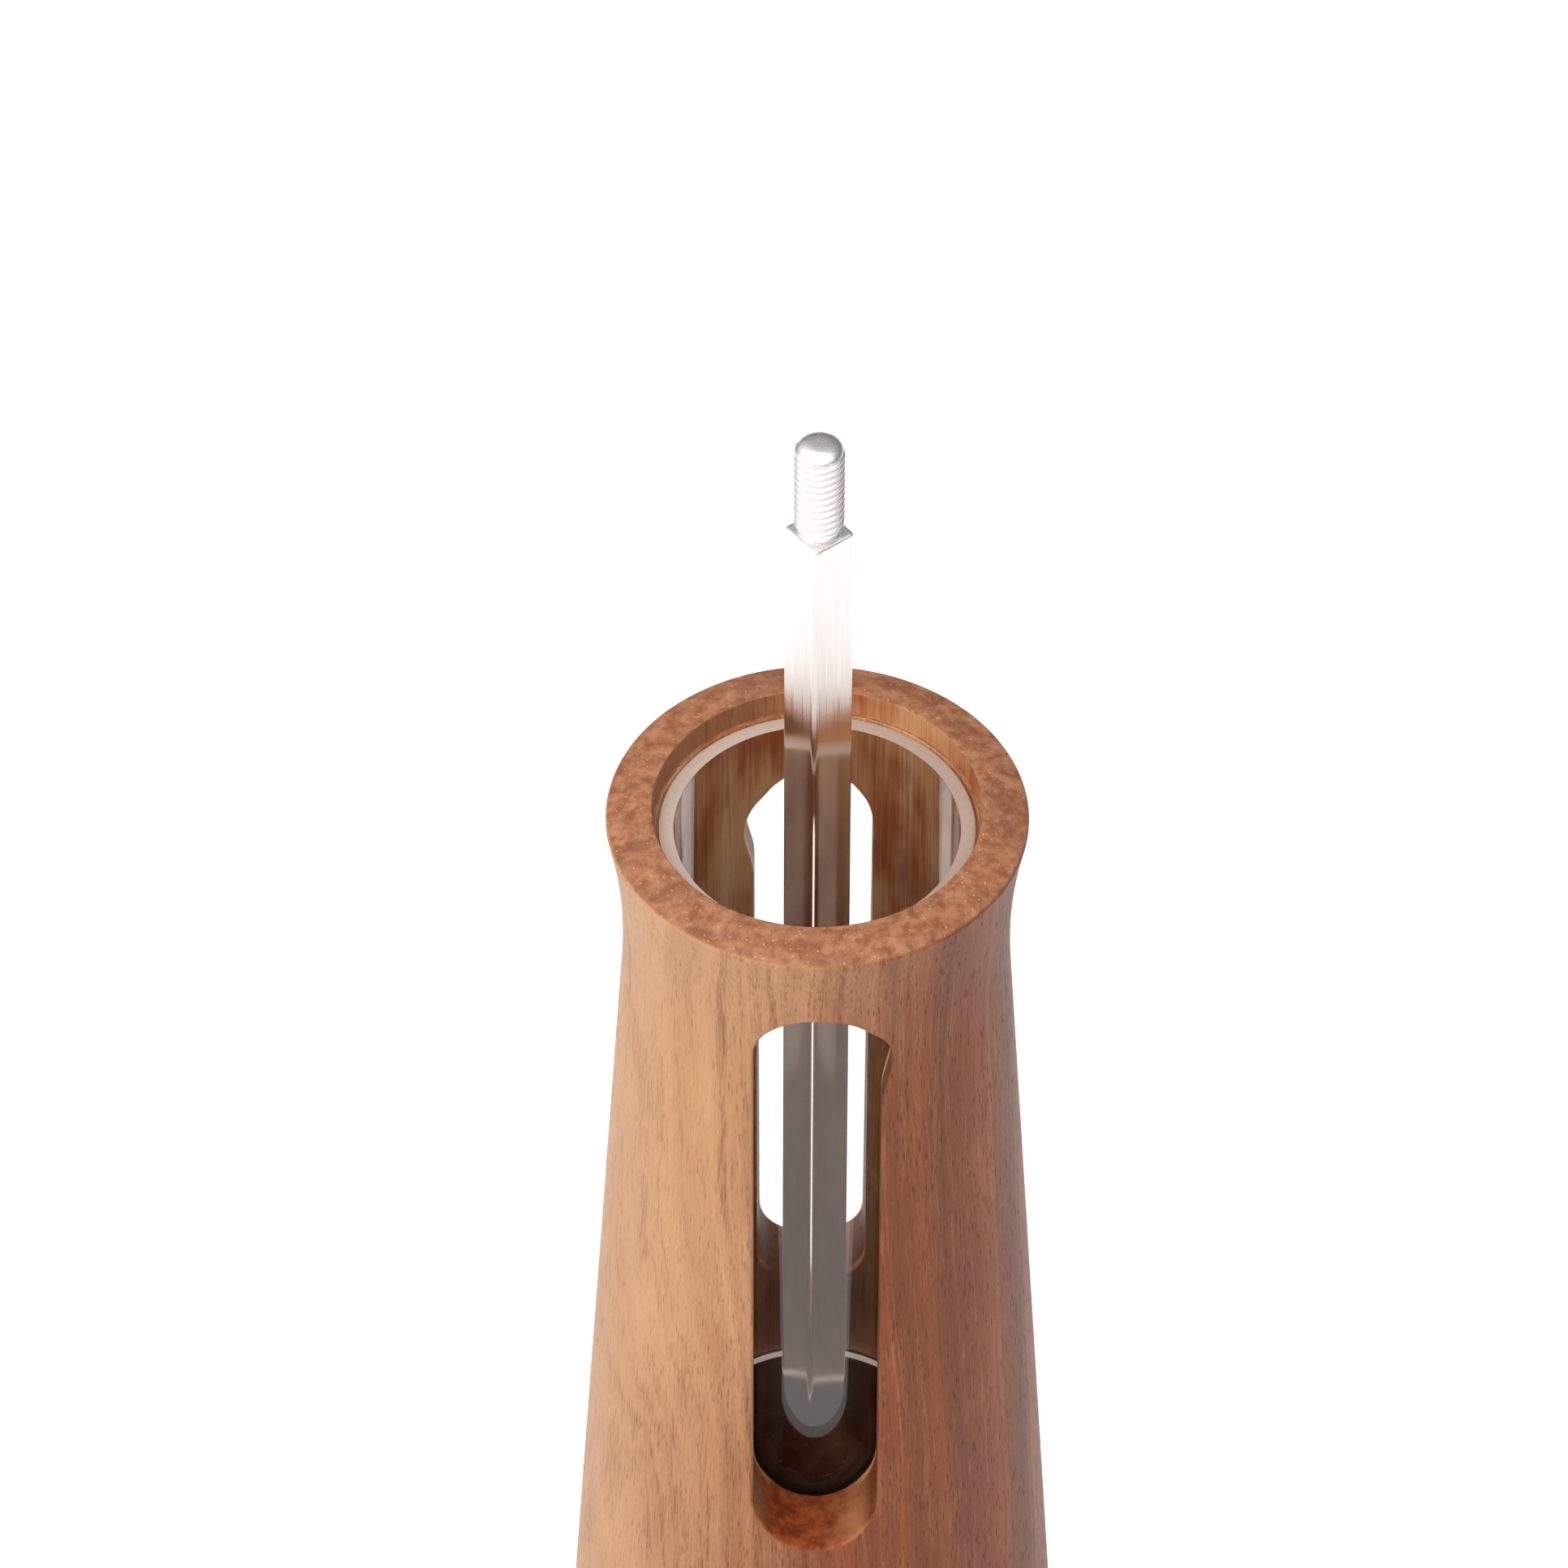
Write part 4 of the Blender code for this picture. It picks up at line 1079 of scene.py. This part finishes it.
def stage():
    """A plain white floor that is lit a little from below, so that it stays paler than its shadows."""
    size = 3000.0
    corners = np.array([(-size, -size, 0), (size, -size, 0), (size, size, 0), (-size, size, 0)]) * MM
    mesh = bpy.data.meshes.new("floor")
    mesh.from_pydata(corners.tolist(), [], [(0, 1, 2, 3)])
    floor = bpy.data.objects.new("floor", mesh)
    bpy.context.scene.collection.objects.link(floor)
    f = Finish("white_floor", roughness=0.9, specular_ior_level=0.1)
    f.set(base_color=(0.10, 0.10, 0.10, 1), emission_color=(1, 1, 1, 1), emission_strength=1.12)
    mesh.materials.append(f.material)


def world():
    """Soft surroundings, brighter overhead, with a broad glow from the left and one from above the front."""
    made = bpy.data.worlds.new("studio")
    bpy.context.scene.world = made
    made.use_nodes = True
    nodes = Nodes(made.node_tree)
    at = nodes.node("ShaderNodeTexCoord")
    light = nodes.split(at, "Z").most(0.0) * 0.3 + 0.10
    for turn, rise, focus, strength in GLOWS:
        turn, rise = math.radians(turn), math.radians(rise)
        towards = (math.cos(rise) * math.sin(turn), -math.cos(rise) * math.cos(turn), math.sin(rise))
        settings = {"operation": "DOT_PRODUCT"}
        facing = nodes.node("ShaderNodeVectorMath", settings, {0: at, 1: towards}, "Value")
        light = light + facing.most(0.0) ** focus * strength
    back = made.node_tree.nodes["Background"]
    nodes.feed(back.inputs["Strength"], light)
    back.inputs["Color"].default_value = (1, 1, 1, 1)


def camera():
    """The camera: it looks down at the mill from the front with a long lens, a touch off level."""
    back = np.array([0, -math.cos(CAMERA_RISE), math.sin(CAMERA_RISE)])
    right = np.array([1.0, 0, 0])
    up = np.cross(back, right)
    c, s = math.cos(CAMERA_ROLL), math.sin(CAMERA_ROLL)
    axes = np.stack([c * right + s * up, c * up - s * right, back], 1)
    place = (np.array(AIM) + back * CAMERA_DISTANCE) * MM
    data = bpy.data.cameras.new("camera")
    data.lens = CAMERA_LENS
    data.sensor_width = 36.0
    data.clip_start = 0.05
    data.clip_end = 20.0
    made = bpy.data.objects.new("camera", data)
    bpy.context.scene.collection.objects.link(made)
    matrix = np.eye(4)
    matrix[:3, :3], matrix[:3, 3] = axes, place
    made.matrix_world = matrix.T.tolist()
    bpy.context.scene.camera = made


def main():
    stage()
    world()
    camera()
    bpy.context.scene.view_settings.view_transform = "Standard"

    wood, acrylic, aluminium = wood_finish(), acrylic_finish(), aluminium_finish()
    plastic, ceramic, steel = plastic_finish(), ceramic_finish(), steel_finish()
    wooden_body(wood)
    clear_tube(acrylic)
    drive_shaft(aluminium)
    grinder_housing(plastic)
    grinding_ring(ceramic)
    grinding_rotor(ceramic)
    rotor_hub(plastic)
    spring_bridge(plastic)
    adjusting_spring(steel)
    washer("bridge_washer", "upper_spring_washer", 4.4, "mill_body", steel)
    washer("rotor_washer", "lower_spring_washer", 4.4, "spring_carrier", steel)
    washer("foot_washer", "shaft_end_washer", 1.8, "drive", steel)
    fasteners(steel)
    retainer_bar(steel)


main()
